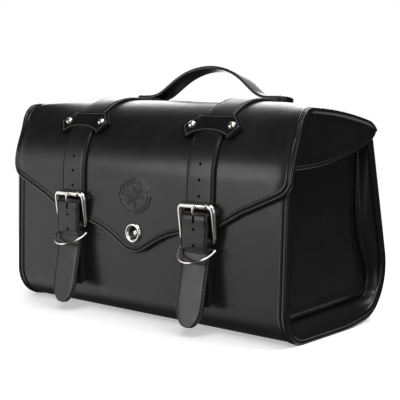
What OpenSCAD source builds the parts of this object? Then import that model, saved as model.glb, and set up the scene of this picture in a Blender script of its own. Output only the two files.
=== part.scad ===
// Leather saddlebag: a stiff wrapped body with recessed ends, a domed lid with a shaped
// flap, two buckled straps, a carry handle and a centre lock.
// X runs along the bag, Y from the front to the back, Z up.
// The origin is the middle of the flat underside.

/* [Body] */
// Length of the body over the bound ends
body_l = 400; // [340:1:500]
// Depth of the body at its widest, near the bottom
body_d = 209; // [185:1:260]
// Height of the front panel
front_h = 174; // [160:1:178]
// Height of the end panels and the back panel
end_h = 206; // [196:1:209]
// Leather thickness of the wrapped panel
wrap_t = 3; // [2:0.1:4]
// Radius of the front bottom bend
front_bend_r = 24; // [15:1:35]
// Radius of the rear bottom bend
rear_bend_r = 60; // [45:1:70]
// Forward lean of the back panel, degrees
back_lean = 17; // [8:1:20]
// Leather thickness of the end panels and gussets
end_t = 2.5; // [1.5:0.1:3.5]
// Depth that the end panels are set in from the bound edges
end_recess = 17; // [10:1:25]
// Width of the edge binding along X
edge_w = 3; // [2:0.5:5]
// Thickness of the stiffener boards
board_t = 2; // [1.5:0.1:3]

/* [Lid] */
// Height of the lid's crest
crest_z = 247; // [240:1:260]
// Distance from the body's front face to the middle of the lid's crest
crest_in = 80; // [70:1:90]
// Radius of the lid's crown
crown_r = 300; // [260:1:360]
// Radius of the lid's front shoulder
shoulder_r = 82; // [70:1:84]
// Radius of the lid's rear bend
lid_rear_r = 26; // [20:1:32]
// Thickness of the lid leather
lid_t = 3.5; // [2.5:0.1:3.8]
// Gap between the flap and the body's front face
flap_gap = 2; // [1.6:0.1:4]
// Amount that the lid stands out past each end of the body
lid_over = 3.5; // [3.4:0.1:6]
// Height of the flap's middle point
flap_tip_z = 78; // [65:1:88]

/* [Straps] */
// Width of each strap
strap_w = 37; // [30:1:40]
// Thickness of each strap
strap_t = 3.2; // [2.5:0.1:3.9]
// Distance of each strap from the middle of the bag
strap_x = 94.5; // [80:0.5:120]
// Height of each strap's tip
strap_tip_z = 10; // [6:1:24]
// Pitch of the punched holes
hole_pitch = 17; // [15:0.5:20]
// Radius of the punched holes
hole_r = 2; // [1.5:0.1:2.5]
// Thickness of the keeper leather
keeper_t = 2.4; // [1.8:0.1:3]
// Width of each keeper across its points
keeper_w = 80; // [74:1:90]
// Spacing of the two rivets on each keeper
rivet_pitch = 53; // [50:1:56]

/* [Buckles] */
// Radius of the buckle's bar
bar_r = 2.4; // [2:0.1:2.6]
// Outer radius of the roller
roller_r = 3.7; // [3.5:0.1:4.2]
// Radius of the buckle's side legs at the top
leg_r = 3; // [2.5:0.1:3.4]
// Clearance between a strap's edge and the legs
leg_gap = 0.6; // [0.4:0.1:1.5]
// Height of the roller's axis
roller_z = 137; // [134:0.5:140]
// Radius of the heel bar
heel_r = 2; // [1.7:0.1:2.2]
// Height of the heel bar's axis
heel_z = 100.5; // [98:0.5:101]
// Running clearance of the roller and the bars, on the radius
run_gap = 0.06; // [0.03:0.01:0.1]
// Radius of the strap ring's wire centreline
ring_r = 23; // [22.5:0.5:25]
// Radius of the strap ring's wire
ring_wire_r = 1.6; // [1.3:0.1:1.9]
// Droop of the strap ring below level, degrees
ring_droop = 35; // [32:1:38]

/* [Handle] */
// Distance from the body's front face to the handle
handle_in = 128; // [115:1:135]
// Width of the handle strap
handle_w = 26; // [20:1:32]
// Thickness of the handle strap
handle_t = 3.6; // [3:0.1:4.5]
// Rise of the handle's top above the lid
handle_rise = 46; // [42:1:60]
// Radius of the handle's arch
arch_r = 90; // [85:1:95]
// Half of the handle's length over its end tabs
handle_half = 114; // [112:1:125]

/* [Lock] */
// Height of the lock's centre
lock_z = 99; // [96:0.5:102]
// Outer radius of the lock's eyelet
eyelet_r = 11.4; // [10.5:0.1:12]
// Radius of the eyelet's hole
eyelet_hole_r = 7.2; // [7:0.1:8]
// Radius of the lock's post
post_r = 2.8; // [2:0.1:2.9]

/* [Mounting] */
// Bore radius of the eyelets in the back panel
mount_bore_r = 3.3; // [2.6:0.1:4.3]
// Sideways spacing of the eyelets in the back panel
mount_span = 240; // [180:5:300]
// Spacing of the eyelets up the back panel
mount_rise = 70; // [50:5:80]

/* [Hidden] */
$fn = 96;
seat_gap = 0.1;
front_y = -body_d / 2;
rear_c_y = front_y + body_d - rear_bend_r;
end_in = wrap_t + seat_gap;
end_x = body_l / 2 - end_recess;
edge_x = body_l / 2 - edge_w;
rim_in = end_in + end_t + 1;
ramp_in = 36;
board_x = end_x - 4;
slope_h = (end_h - rear_bend_r - rear_bend_r * sin(back_lean)) / cos(back_lean);
hinge_lap = 22;
big = 900;
lap_a = 0.2;
bend_steps = 20;

flap_y = front_y - flap_gap - lid_t;
lid_half = body_l / 2 + lid_over;
bind_t = 1.5;
bind_w = 6;
crown_y = front_y + crest_in;
crown_z = crest_z - crown_r;
shoulder_y = flap_y + shoulder_r;
shoulder_z = crown_z + sqrt(pow(crown_r - shoulder_r, 2) - pow(shoulder_y - crown_y, 2));
lean_top_y = rear_c_y + rear_bend_r / cos(back_lean)
           - (end_h - rear_bend_r) * tan(back_lean);
lid_rear_y = lean_top_y + 1;
lid_rear_c_y = lid_rear_y - lid_rear_r;
lid_rear_c_z = crown_z + sqrt(pow(crown_r - lid_rear_r, 2) - pow(lid_rear_c_y - crown_y, 2));
hinge_z = end_h + 4;
shoulder_a = atan2(shoulder_z - crown_z, shoulder_y - crown_y);
rear_a = atan2(lid_rear_c_z - crown_z, lid_rear_c_y - crown_y);

tip_w = 18.8;
tip_rise = 6;
sweep_end = lid_half - 58.5;
sweep_slope = 0.375;
sweep_wave = 4.5;
corner_r = 20.5;
corner_slope_a = 23.7;
corner_c_x = lid_half - corner_r;
corner_in_x = corner_c_x + corner_r * sin(corner_slope_a);
sweep_z = flap_tip_z + tip_rise + sweep_slope * (sweep_end - tip_w);
corner_in_z = sweep_z + tan(corner_slope_a) * (corner_in_x - sweep_end);
corner_c_z = corner_in_z + corner_r * cos(corner_slope_a);

cap_x = body_l / 2 + 0.6;
cap_t = lid_half - cap_x;
cap_front_z = front_h + 6;
cap_rear_z = lid_rear_c_z + 3;
cap_r = 370;

heel_y = front_y - 8.5;
loop_t = 3.1;
ring_y = front_y - 8;
ring_z = 92;
ring_loop_t = 1.5;

strap_gap = 0.3;
strap_in_r = shoulder_r + strap_gap;
flex_a = 30;
flex_gap_a = 1.6;
billet_y = shoulder_y - strap_in_r - strap_t / 2;
bulge_top_z = roller_z - 3;
bulge_end_z = bulge_top_z - 16;
bulge_y = heel_y - heel_r - loop_t - strap_gap - strap_t / 2;
tuck_top_z = heel_z - 2;
tuck_end_z = ring_z - 5;
tuck_y = ring_y - ring_wire_r - ring_loop_t - strap_gap;
tip_y = tuck_y - 13;
keeper_in_r = strap_in_r + strap_t + 0.2;
keeper_low_a = 28.7;
keeper_high_a = 49.5;
rivet_a = 40;
rivet_r = 4.3;

roller_y = billet_y - strap_t / 2 - 0.5 - roller_r;
roller_end_gap = 2.6;
roller_l = strap_w + 2 * leg_gap - 2 * roller_end_gap;
roller_shift = -roller_end_gap + 0.4;
leg_x = strap_w / 2 + leg_gap + leg_r;
chape_w = strap_w - 5;
chape_low_z = 30;
chape_y = front_y - 0.6;
chape_front_y = tuck_y + strap_t / 2 + strap_gap;
release_z = 46;
stud_r = 4;
stud_h = 2.4;
prong_r = 1.4;
prong_z = bulge_top_z - 12.2;
prong_slot_l = 18;

pad_t = 2.4;
tab_half = 22;
handle_a = asin((handle_in - crest_in) / crown_r);
strap_end_a = 90 - rear_a;
arch_a = 37;

flange_t = 1;
flange_r = 8;
mount_barrel_r = mount_bore_r + 0.9;
mount_mid = 62;
post_h = 3.5;

// ---- Drawing helpers ----

// A drawing in Y and Z, made solid between two places on X
module along_x(x0, x1) {
    rotate([90, 0, 90]) translate([0, 0, x0]) linear_extrude(x1 - x0) children();
}

// The same piece at the right end (side 1) or the left end (side -1)
module at_end(side) {
    if (side > 0) children();
    else mirror([1, 0, 0]) children();
}

// A drawing in X and Z, made solid from y_back towards the front
module to_front(y_back, depth) {
    translate([0, y_back, 0]) rotate([90, 0, 0]) linear_extrude(depth) children();
}

// A wedge from the origin between two angles
module wedge(a0, a1) {
    polygon([[0, 0], [big * cos(a0), big * sin(a0)],
             [big * cos((a0 + a1) / 2), big * sin((a0 + a1) / 2)],
             [big * cos(a1), big * sin(a1)]]);
}

// Part of a flat ring between two radii and two angles, lapped a little into its neighbours
module ring_part(r_in, r_out, a0, a1) {
    intersection() {
        difference() {
            circle(r_out);
            circle(r_in);
        }
        wedge(a0 - lap_a, a1 + lap_a);
    }
}

// A cylinder whose axis runs along X
module bar_x(r, x0, x1) {
    translate([x0, 0, 0]) rotate([0, 90, 0]) cylinder(r = r, h = x1 - x0);
}

// A cylinder whose axis runs from y_back towards the front
module pin_y(r, y_back, length) {
    translate([0, y_back, 0]) rotate([90, 0, 0]) cylinder(r = r, h = length);
}

// ---- Body ----

// Points along an arc
function arc(c, r, a0, a1) = [for (i = [0:bend_steps])
    let (a = a0 + (a1 - a0) * i / bend_steps) c + r * [cos(a), sin(a)]];

// Side outline of the wrapped panel, drawn smaller by inset: down the front, round the
// front bend, along the bottom and round the rear bend
function wrap_path(inset) = concat(
    [[front_y + inset, 2 * end_h]],
    arc([front_y + front_bend_r, front_bend_r], front_bend_r - inset, 180, 270),
    arc([rear_c_y, rear_bend_r], rear_bend_r - inset, 270, 360 + back_lean));

// The whole body's side outline, which goes on up the leaning back
function body_path(inset) =
    let (path = wrap_path(inset))
    concat(path, [path[len(path) - 1] + end_h * [-sin(back_lean), cos(back_lean)]]);

// Region under the body's open rim, which steps up from the front panel to the ends
module below_rim() {
    polygon([[front_y - 1, -1], [front_y - 1, front_h], [front_y + wrap_t + 1, front_h],
             [front_y + ramp_in, end_h], [body_d, end_h], [body_d, -1]]);
}

// A wall between two outlines, under the body's rim
module wall(outer_path, inner_path) {
    intersection() {
        polygon(concat(outer_path, [for (i = [len(inner_path) - 1:-1:0]) inner_path[i]]));
        below_rim();
    }
}

module body_band(in_outer, in_inner) {
    wall(body_path(in_outer), body_path(in_inner));
}

// The back panel's own frame: Y out of the panel, Z up its slope
module on_back() {
    translate([0, rear_c_y, rear_bend_r]) rotate([back_lean, 0, 0]) children();
}

module at_mounts() {
    for (sx = [-1, 1]) for (sz = [-1, 1])
        on_back() translate([sx * mount_span / 2, 0, mount_mid + sz * mount_rise / 2]) children();
}

module mount_holes() {
    at_mounts() pin_y(mount_barrel_r + seat_gap, rear_bend_r + 1, wrap_t + board_t + 2);
}

module body_wrap() {
    color([0.09, 0.09, 0.09]) difference() {
        along_x(-edge_x, edge_x) wall(wrap_path(0), wrap_path(wrap_t));
        translate([0, 0, lock_z]) pin_y(post_r + 1 + seat_gap, front_y + wrap_t + 1, wrap_t + 2);
        for (sx = [-1, 1]) translate([sx * strap_x, 0, release_z])
            pin_y(stud_r / 2 + seat_gap, front_y + wrap_t + 1, wrap_t + 2);
    }
}

// Flat leaning panel sewn to the wrapped panel's rear edge
module back_panel() {
    color([0.09, 0.09, 0.09]) difference() {
        intersection() {
            on_back() translate([-edge_x, rear_bend_r - wrap_t, 0])
                cube([2 * edge_x, wrap_t, end_h]);
            translate([-edge_x, 0, 0]) cube([2 * edge_x, body_d, end_h]);
        }
        mount_holes();
    }
}

module front_board() {
    board_low = front_bend_r + 2;
    color([0.35, 0.3, 0.25]) difference() {
        translate([-board_x, front_y + wrap_t, board_low])
            cube([2 * board_x, board_t, front_h - board_low - 4]);
        translate([0, 0, lock_z]) pin_y(post_r + 1 + seat_gap, front_y + wrap_t + board_t + 1, board_t + 2);
        for (sx = [-1, 1]) translate([sx * strap_x, 0, release_z])
            pin_y(stud_r / 2 + seat_gap, front_y + wrap_t + board_t + 1, board_t + 2);
    }
}

module base_board() {
    board_front = front_y + front_bend_r + 1;
    color([0.35, 0.3, 0.25]) translate([-board_x, board_front, wrap_t])
        cube([2 * board_x, rear_c_y - board_front, board_t]);
}

module back_board() {
    color([0.35, 0.3, 0.25]) difference() {
        on_back() translate([-board_x, rear_bend_r - wrap_t - board_t, 1])
            cube([2 * board_x, board_t, slope_h - hinge_lap - 4]);
        mount_holes();
    }
}

module end_panel(side) {
    color([0.08, 0.08, 0.08]) at_end(side) along_x(end_x - end_t, end_x) intersection() {
        polygon(body_path(end_in + end_t + seat_gap));
        below_rim();
    }
}

module gusset(side) {
    color([0.07, 0.07, 0.07]) at_end(side) along_x(end_x - end_t, edge_x)
        body_band(end_in, end_in + end_t);
}

module body_binding(side) {
    color([0.06, 0.06, 0.06]) at_end(side) along_x(edge_x, body_l / 2) body_band(0, rim_in);
}

// Leather strip that joins the lid to the back panel, lying on the panel's inner face
module hinge_strip() {
    color([0.06, 0.06, 0.06]) on_back()
        translate([-board_x, rear_bend_r - wrap_t - board_t, slope_h - hinge_lap])
        cube([2 * board_x, board_t, hinge_lap]);
}

module mounting_eyelets() {
    grip = wrap_t + board_t;
    color("silver") at_mounts() difference() {
        union() {
            pin_y(mount_barrel_r, rear_bend_r, grip);
            pin_y(flange_r, rear_bend_r + flange_t, flange_t);
            pin_y(flange_r, rear_bend_r - grip, flange_t);
        }
        pin_y(mount_bore_r, rear_bend_r + flange_t + 1, grip + 2 * flange_t + 2);
    }
}

// ---- Lock ----

// Fixed barrel of the lock, riveted through the front panel
module lock_base() {
    grip = wrap_t + board_t;
    color("silver") translate([0, 0, lock_z]) difference() {
        union() {
            pin_y(post_r + 1, front_y + grip, grip + 0.4);
            pin_y(flange_r + 2, front_y + grip + flange_t, flange_t);
        }
        pin_y(post_r - 0.6 + run_gap, front_y + grip + flange_t + 1, grip + 4);
    }
}

// Turning plug of the lock with its key slot
module lock_plug() {
    grip = wrap_t + board_t;
    color("silver") translate([0, 0, lock_z]) difference() {
        union() {
            pin_y(post_r - 0.6, front_y + grip, grip + post_h);
            pin_y(post_r, front_y - 0.7, post_h - 0.7);
        }
        translate([-0.4, front_y - post_h - 1, -post_r + 1]) cube([0.8, 2.2, 2 * post_r - 2]);
    }
}

module release_stud(side) {
    grip = wrap_t + board_t;
    color("silver") translate([side * strap_x, 0, release_z]) {
        pin_y(stud_r / 2, front_y + grip, grip);
        pin_y(stud_r, front_y, stud_h);
        pin_y(flange_r - 2, front_y + grip + flange_t, flange_t);
    }
}

// ---- Lid ----

// Side outline of the lid, drawn smaller by inset: the round shoulder, the crown and the
// rear bend, each tangent to the next
module lid_outline(inset) {
    shoulder = [shoulder_y, shoulder_z];
    rear_c = [lid_rear_c_y, lid_rear_c_z];
    intersection() {
        translate([crown_y, crown_z]) circle(crown_r - inset, $fn = 192);
        union() {
            translate(shoulder) circle(shoulder_r - inset);
            translate(rear_c) circle(lid_rear_r - inset);
            polygon([[flap_y + inset, -1], [flap_y + inset, shoulder_z], shoulder,
                     shoulder + shoulder_r * [cos(shoulder_a), sin(shoulder_a)] * 2,
                     rear_c + shoulder_r * [cos(rear_a), sin(rear_a)] * 2, rear_c,
                     [lid_rear_y - inset, lid_rear_c_z], [lid_rear_y - inset, -1]]);
        }
    }
}

// The lid's leather between two insets: flap, shoulder, crown, rear bend and rear edge
module lid_band(in_outer, in_inner) {
    t = in_inner - in_outer;
    translate([flap_y + in_outer, -1]) square([t, shoulder_z + 1]);
    translate([shoulder_y, shoulder_z])
        ring_part(shoulder_r - in_inner, shoulder_r - in_outer, shoulder_a, 180);
    translate([crown_y, crown_z])
        ring_part(crown_r - in_inner, crown_r - in_outer, rear_a, shoulder_a);
    translate([lid_rear_c_y, lid_rear_c_z])
        ring_part(lid_rear_r - in_inner, lid_rear_r - in_outer, 0, rear_a);
    translate([lid_rear_y - in_inner, -1]) square([t, lid_rear_c_z + 1]);
}

// Height of the flap's lower edge at a distance a from the middle: a rounded tip, a wavy
// sweep up and out, a straight rise, and a round corner
function flap_edge_z(a) =
    a < tip_w ? flap_tip_z + tip_rise * pow(a / tip_w, 2)
    : a < sweep_end ? flap_tip_z + tip_rise + sweep_slope * (a - tip_w)
                      + sweep_wave * sin(360 * (a - tip_w) / (sweep_end - tip_w))
    : a < corner_in_x ? sweep_z + tan(corner_slope_a) * (a - sweep_end)
    : corner_c_z - sqrt(max(0, pow(corner_r, 2) - pow(a - corner_c_x, 2)));

edge_steps = 36;
function edge_x_at(i) = i > 30 ? corner_c_x + corner_r * sin(corner_slope_a
                                 + (90 - corner_slope_a) * (i - 30) / 6)
                               : corner_in_x * i / 30;
function edge_point(i, lift) =
    let (a = edge_x_at(abs(i))) [sign(i) * a, flap_edge_z(a) + lift];

module above_flap_edge(top_z) {
    polygon(concat([for (i = [-edge_steps:edge_steps]) edge_point(i, 0)],
                   [[lid_half, top_z], [-lid_half, top_z]]));
}

// What the lid keeps: the shaped flap in front and everything above the hinge behind
module lid_keep() {
    to_front(crown_y, crown_y - flap_y + 1) above_flap_edge(crest_z + 2);
    translate([-lid_half - 1, crown_y - 1, hinge_z + 1])
        cube([2 * lid_half + 2, body_d, crest_z - hinge_z]);
}

module lid_shell() {
    color([0.1, 0.1, 0.1]) difference() {
        intersection() {
            along_x(-lid_half, lid_half) lid_band(0, lid_t);
            lid_keep();
        }
        translate([0, 0, lock_z]) pin_y(eyelet_hole_r + 1, flap_y + lid_t + 1, lid_t + 2);
    }
}

module lid_board() {
    board_in = lid_t + seat_gap;
    color([0.35, 0.3, 0.25]) along_x(-end_x, end_x) translate([crown_y, crown_z])
        ring_part(crown_r - board_in - board_t, crown_r - board_in, rear_a, shoulder_a);
}

// Centre of the round lower edge of the end caps
module cap_round(r) {
    chord_y = lid_rear_y - flap_y;
    chord_z = cap_rear_z - cap_front_z;
    chord = norm([chord_y, chord_z]);
    up = sqrt(pow(cap_r, 2) - pow(chord / 2, 2));
    translate([flap_y + chord_y / 2 - up * chord_z / chord,
               cap_front_z + chord_z / 2 + up * chord_y / chord]) circle(r, $fn = 192);
}

module end_cap(side) {
    color([0.07, 0.07, 0.07]) at_end(side) along_x(cap_x, lid_half) intersection() {
        lid_outline(lid_t + seat_gap);
        cap_round(cap_r);
    }
}

module lid_binding(side) {
    color([0.06, 0.06, 0.06]) at_end(side) intersection() {
        along_x(lid_half, lid_half + bind_t) lid_band(0, bind_w);
        union() {
            translate([0, flap_y - 1, corner_c_z]) cube([lid_half + 9, crown_y - flap_y, crest_z]);
            translate([0, crown_y - 2, hinge_z + 1]) cube([lid_half + 9, body_d, crest_z]);
        }
    }
}

module flap_binding() {
    color([0.06, 0.06, 0.06]) to_front(flap_y, 1)
        polygon(concat([for (i = [-edge_steps:edge_steps]) edge_point(i, 0)],
                       [for (i = [edge_steps:-1:-edge_steps])
                        edge_point(i, bind_w) - [sign(i) * bind_w * pow(abs(i) / edge_steps, 8), 0]]));
}

module cap_binding(side) {
    color([0.06, 0.06, 0.06]) at_end(side) along_x(lid_half, lid_half + 1) intersection() {
        lid_outline(bind_w + seat_gap);
        difference() {
            cap_round(cap_r);
            cap_round(cap_r - bind_w);
        }
    }
}

module lock_eyelet() {
    color("silver") translate([0, flap_y, lock_z]) rotate([90, 0, 0]) rotate_extrude()
        difference() {
            union() {
                translate([(eyelet_r + eyelet_hole_r) / 2, 0.6])
                    circle((eyelet_r - eyelet_hole_r) / 2);
                translate([eyelet_hole_r, -lid_t]) square([0.9, lid_t + 1]);
            }
            translate([eyelet_hole_r + 0.9, -eyelet_r]) square([eyelet_r, eyelet_r]);
            translate([0, -lid_t - 1 - eyelet_r]) square([2 * eyelet_r, eyelet_r + 1]);
        }
}

module lock_washer() {
    color("silver") translate([0, 0, lock_z]) difference() {
        pin_y(eyelet_r - 1, flap_y + lid_t + 0.8, 0.8);
        pin_y(eyelet_hole_r, flap_y + lid_t + 1, 2);
    }
}

// ---- Straps on the lid ----

// A band that lies on the lid's shoulder and crown, from angle a0 on the shoulder back to
// angle a1 past the top of the crown
module over_lid(r_gap, t, a0, a1) {
    translate([shoulder_y, shoulder_z])
        ring_part(shoulder_r + r_gap, shoulder_r + r_gap + t, shoulder_a, 180 - a0);
    translate([crown_y, crown_z])
        ring_part(crown_r + r_gap, crown_r + r_gap + t, 90 - a1, shoulder_a);
}

module strap_upper(side) {
    color([0.1, 0.1, 0.1])
        along_x(side * strap_x - strap_w / 2, side * strap_x + strap_w / 2)
        over_lid(strap_gap, strap_t, flex_a, strap_end_a);
}

// Outline of a keeper, flattened: a bow tie with one point at each side and a hollow
// lower edge
module keeper_outline() {
    keeper_h = (keeper_high_a - keeper_low_a) * PI / 180 * keeper_in_r;
    half = keeper_w / 2;
    difference() {
        polygon([[-half, keeper_h / 2], [-half + 13, keeper_h], [half - 13, keeper_h],
                 [half, keeper_h / 2], [half - 11, 0], [-half + 11, 0]]);
        translate([0, -56]) circle(64);
    }
}

// Region of X and height that a keeper covers, seen square on
module keeper_cut(side) {
    translate([side * strap_x, shoulder_y, shoulder_z])
        rotate([90 - (keeper_low_a + keeper_high_a) / 2, 0, 0])
        translate([0, 0, shoulder_r / 2])
        linear_extrude(shoulder_r)
        translate([0, -(keeper_high_a - keeper_low_a) * PI / 360 * keeper_in_r])
        keeper_outline();
}

module keeper(side) {
    color([0.09, 0.09, 0.09]) intersection() {
        along_x(side * strap_x - keeper_w / 2, side * strap_x + keeper_w / 2)
            translate([shoulder_y, shoulder_z])
            ring_part(keeper_in_r, keeper_in_r + keeper_t, 100, 170);
        keeper_cut(side);
    }
}

// Leather fillers between the lid and the keeper, one at each side of the strap
module keeper_filler(side) {
    color([0.05, 0.05, 0.05]) intersection() {
        for (s = [-1, 1]) {
            inner = side * strap_x + s * (strap_w / 2 + 0.8);
            outer = side * strap_x + s * keeper_w / 2;
            along_x(min(inner, outer), max(inner, outer)) translate([shoulder_y, shoulder_z])
                ring_part(shoulder_r + seat_gap, keeper_in_r - seat_gap, 100, 170);
        }
        keeper_cut(side);
    }
}

// Domed rivets that stand square on the keeper
module keeper_rivets(side) {
    color("silver") for (s = [-1, 1])
        translate([side * strap_x + s * rivet_pitch / 2, shoulder_y, shoulder_z])
        rotate([90 - rivet_a, 0, 0]) translate([0, 0, keeper_in_r + keeper_t + seat_gap])
        intersection() {
            translate([0, 0, 2 - rivet_r * 1.25]) sphere(rivet_r * 1.25);
            cylinder(r = rivet_r, h = rivet_r);
        }
}

// ---- Handle ----

// The handle's own frame: on the lid's crown, Z square to it
module on_crown() {
    translate([0, crown_y, crown_z]) rotate([-handle_a, 0, 0]) translate([0, 0, crown_r]) children();
}

pad_base = strap_gap + strap_t + 0.1;
tab_z = pad_base + pad_t;

// Half of the handle: round arch, straight shank, hollow bend and flat tab
module handle_half_outline() {
    arch_c_z = handle_rise - arch_r;
    arch_end = [arch_r * sin(arch_a), arch_c_z + arch_r * cos(arch_a)];
    foot_r = 36;
    foot_drop = foot_r * (1 - cos(arch_a));
    shank_drop = arch_end[1] - (tab_z + handle_t) - foot_drop;
    shank_l = shank_drop / sin(arch_a);
    foot_c_x = arch_end[0] + shank_l * cos(arch_a) + foot_r * sin(arch_a);
    translate([0, arch_c_z]) ring_part(arch_r - handle_t, arch_r, 90 - arch_a, 90);
    translate(arch_end) rotate(-arch_a) translate([0, -handle_t]) square([shank_l, handle_t]);
    translate([foot_c_x, tab_z + handle_t + foot_r])
        ring_part(foot_r, foot_r + handle_t, 270 - arch_a, 270);
    translate([foot_c_x, tab_z]) square([handle_half - foot_c_x, handle_t]);
}

module handle_strap() {
    color([0.1, 0.1, 0.1]) on_crown() translate([0, handle_w / 2, 0]) rotate([90, 0, 0])
        linear_extrude(handle_w) {
            handle_half_outline();
            mirror([1, 0]) handle_half_outline();
        }
}

module handle_pads() {
    color([0.05, 0.05, 0.05]) on_crown() for (s = [-1, 1])
        translate([s * (handle_half - tab_half) - tab_half, -handle_w / 2 - 1, pad_base])
        cube([2 * tab_half, handle_w + 2, pad_t]);
}

module handle_rivets() {
    color("silver") on_crown() for (s = [-1, 1]) for (k = [-1, 1])
        translate([s * (handle_half - 8), k * handle_w / 4, tab_z + handle_t + seat_gap])
        intersection() {
            translate([0, 0, -2.6]) sphere(4);
            cylinder(r = 3, h = 4);
        }
}

// ---- Buckled strap ends ----

// Middle of the billet's thickness below the shoulder: straight down the flap, out under
// the roller and over the heel bar, in under the ring, then easing out to the tip
function ease(t) = t * t * (3 - 2 * t);
function billet_mid_y(z) =
    z > bulge_top_z ? billet_y
    : z > bulge_end_z ? billet_y + (bulge_y - billet_y)
                        * ease((bulge_top_z - z) / (bulge_top_z - bulge_end_z))
    : z > tuck_top_z ? bulge_y
    : z > tuck_end_z ? bulge_y + (tuck_y - bulge_y)
                       * ease((tuck_top_z - z) / (tuck_top_z - tuck_end_z))
    : tuck_y + (tip_y - tuck_y) * (tuck_end_z - z) / (tuck_end_z - strap_tip_z);

billet_steps = 44;
function billet_z(i) = shoulder_z + (strap_tip_z - shoulder_z) * i / billet_steps;

module billet_outline() {
    translate([shoulder_y, shoulder_z])
        ring_part(strap_in_r, strap_in_r + strap_t, 180 - flex_a + flex_gap_a, 180);
    polygon(concat(
        [for (i = [0:billet_steps]) [billet_mid_y(billet_z(i)) - strap_t / 2, billet_z(i)]],
        [for (i = [billet_steps:-1:0]) [billet_mid_y(billet_z(i)) + strap_t / 2, billet_z(i)]]));
}

// Front view of a billet: parallel sides and a round tip
module billet_front() {
    tip_r = strap_w / 2 + 4;
    translate([-strap_w / 2, strap_tip_z + tip_r]) square([strap_w, crest_z]);
    intersection() {
        translate([0, strap_tip_z + tip_r]) circle(tip_r);
        translate([-strap_w / 2, 0]) square([strap_w, strap_tip_z + tip_r]);
    }
}

module billet(side) {
    hole_top_z = 180.5;
    color([0.1, 0.1, 0.1]) translate([side * strap_x, 0, 0]) difference() {
        intersection() {
            along_x(-strap_w / 2, strap_w / 2) billet_outline();
            to_front(shoulder_y, shoulder_y - tip_y + 9) billet_front();
        }
        for (k = [0, 1, 2, 4, 5, 6]) translate([0, 0, hole_top_z - k * hole_pitch])
            pin_y(hole_r, shoulder_y, body_d);
        translate([-hole_r, tip_y - 9, prong_z - prong_slot_l / 2])
            cube([2 * hole_r, body_d / 4, prong_slot_l]);
    }
}

// Folded leather that holds the heel bar and the strap ring behind the billet
module chape(side) {
    leaf_t = strap_t;
    fold_z = release_z + 16;
    color([0.06, 0.06, 0.06]) translate([side * strap_x, 0, 0]) difference() {
        along_x(-chape_w / 2, chape_w / 2) difference() {
            union() {
                translate([heel_y, heel_z]) circle(heel_r + loop_t);
                translate([ring_y, ring_z]) circle(ring_wire_r + ring_loop_t);
                translate([chape_front_y, fold_z])
                    square([chape_y - chape_front_y, heel_z - fold_z]);
                translate([chape_front_y, chape_low_z]) square([leaf_t, fold_z - chape_low_z + 1]);
            }
            translate([heel_y, heel_z]) circle(heel_r + run_gap);
            translate([ring_y, ring_z]) circle(ring_wire_r + run_gap);
        }
        translate([-prong_r - 0.5, heel_y - 9, heel_z - 4]) cube([2 * prong_r + 1, 14, 14]);
    }
}

// Moulded socket of the concealed quick release, behind the chape's lower leaf
module release_socket(side) {
    socket_h = 26;
    socket_front_y = chape_front_y + strap_t + strap_gap / 2;
    socket_back_y = front_y - 1;
    color([0.04, 0.04, 0.04]) translate([side * strap_x, 0, release_z]) difference() {
        translate([-chape_w / 2 + 2, socket_front_y, -socket_h / 2])
            cube([chape_w - 4, socket_back_y - socket_front_y, socket_h]);
        pin_y(stud_r + 2.6, front_y, stud_h + 1.6);
    }
}

module buckle_frame(side) {
    lean = norm([roller_y - heel_y, roller_z - heel_z]);
    tilt = atan2(heel_y - roller_y, roller_z - heel_z);
    swell = 0.4;
    color("silver") translate([side * strap_x, 0, 0]) {
        translate([0, heel_y, heel_z]) bar_x(heel_r, -leg_x, leg_x);
        translate([0, roller_y, roller_z]) bar_x(bar_r, -leg_x, leg_x);
        for (s = [-1, 1]) {
            translate([s * leg_x, heel_y, heel_z]) sphere(heel_r + swell);
            translate([s * leg_x, roller_y, roller_z]) sphere(leg_r);
            translate([s * leg_x, heel_y, heel_z]) rotate([tilt, 0, 0])
                cylinder(r1 = heel_r + swell / 2, r2 = leg_r - swell / 2, h = lean);
        }
    }
}

// Tongue: an eye on the heel bar and a pin up through the billet to the roller
module buckle_prong(side) {
    tip_front_y = roller_y - roller_r - prong_r - 0.3;
    lean = norm([tip_front_y - heel_y, roller_z - heel_z]);
    tilt = atan2(heel_y - tip_front_y, roller_z - heel_z);
    color("silver") translate([side * strap_x, heel_y, heel_z]) difference() {
        union() {
            bar_x(heel_r + 1.3, -prong_r, prong_r);
            rotate([tilt, 0, 0]) cylinder(r = prong_r, h = lean);
        }
        bar_x(heel_r + run_gap, -prong_r - 1, prong_r + 1);
    }
}

module buckle_roller(side) {
    color("silver") translate([side * strap_x + roller_shift, roller_y, roller_z]) difference() {
        bar_x(roller_r, -roller_l / 2, roller_l / 2);
        bar_x(bar_r + run_gap, -roller_l / 2 - 1, roller_l / 2 + 1);
    }
}

// Half-round wire ring that hangs in front of the billet from its bar in the chape
module strap_ring(side) {
    color("silver") translate([side * strap_x, ring_y, ring_z]) rotate([ring_droop, 0, 0]) {
        rotate([0, 0, 180]) rotate_extrude(angle = 180)
            translate([ring_r, 0]) circle(ring_wire_r);
        bar_x(ring_wire_r, -ring_r, ring_r);
        for (s = [-1, 1]) translate([s * ring_r, 0, 0]) sphere(ring_wire_r);
    }
}

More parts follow.
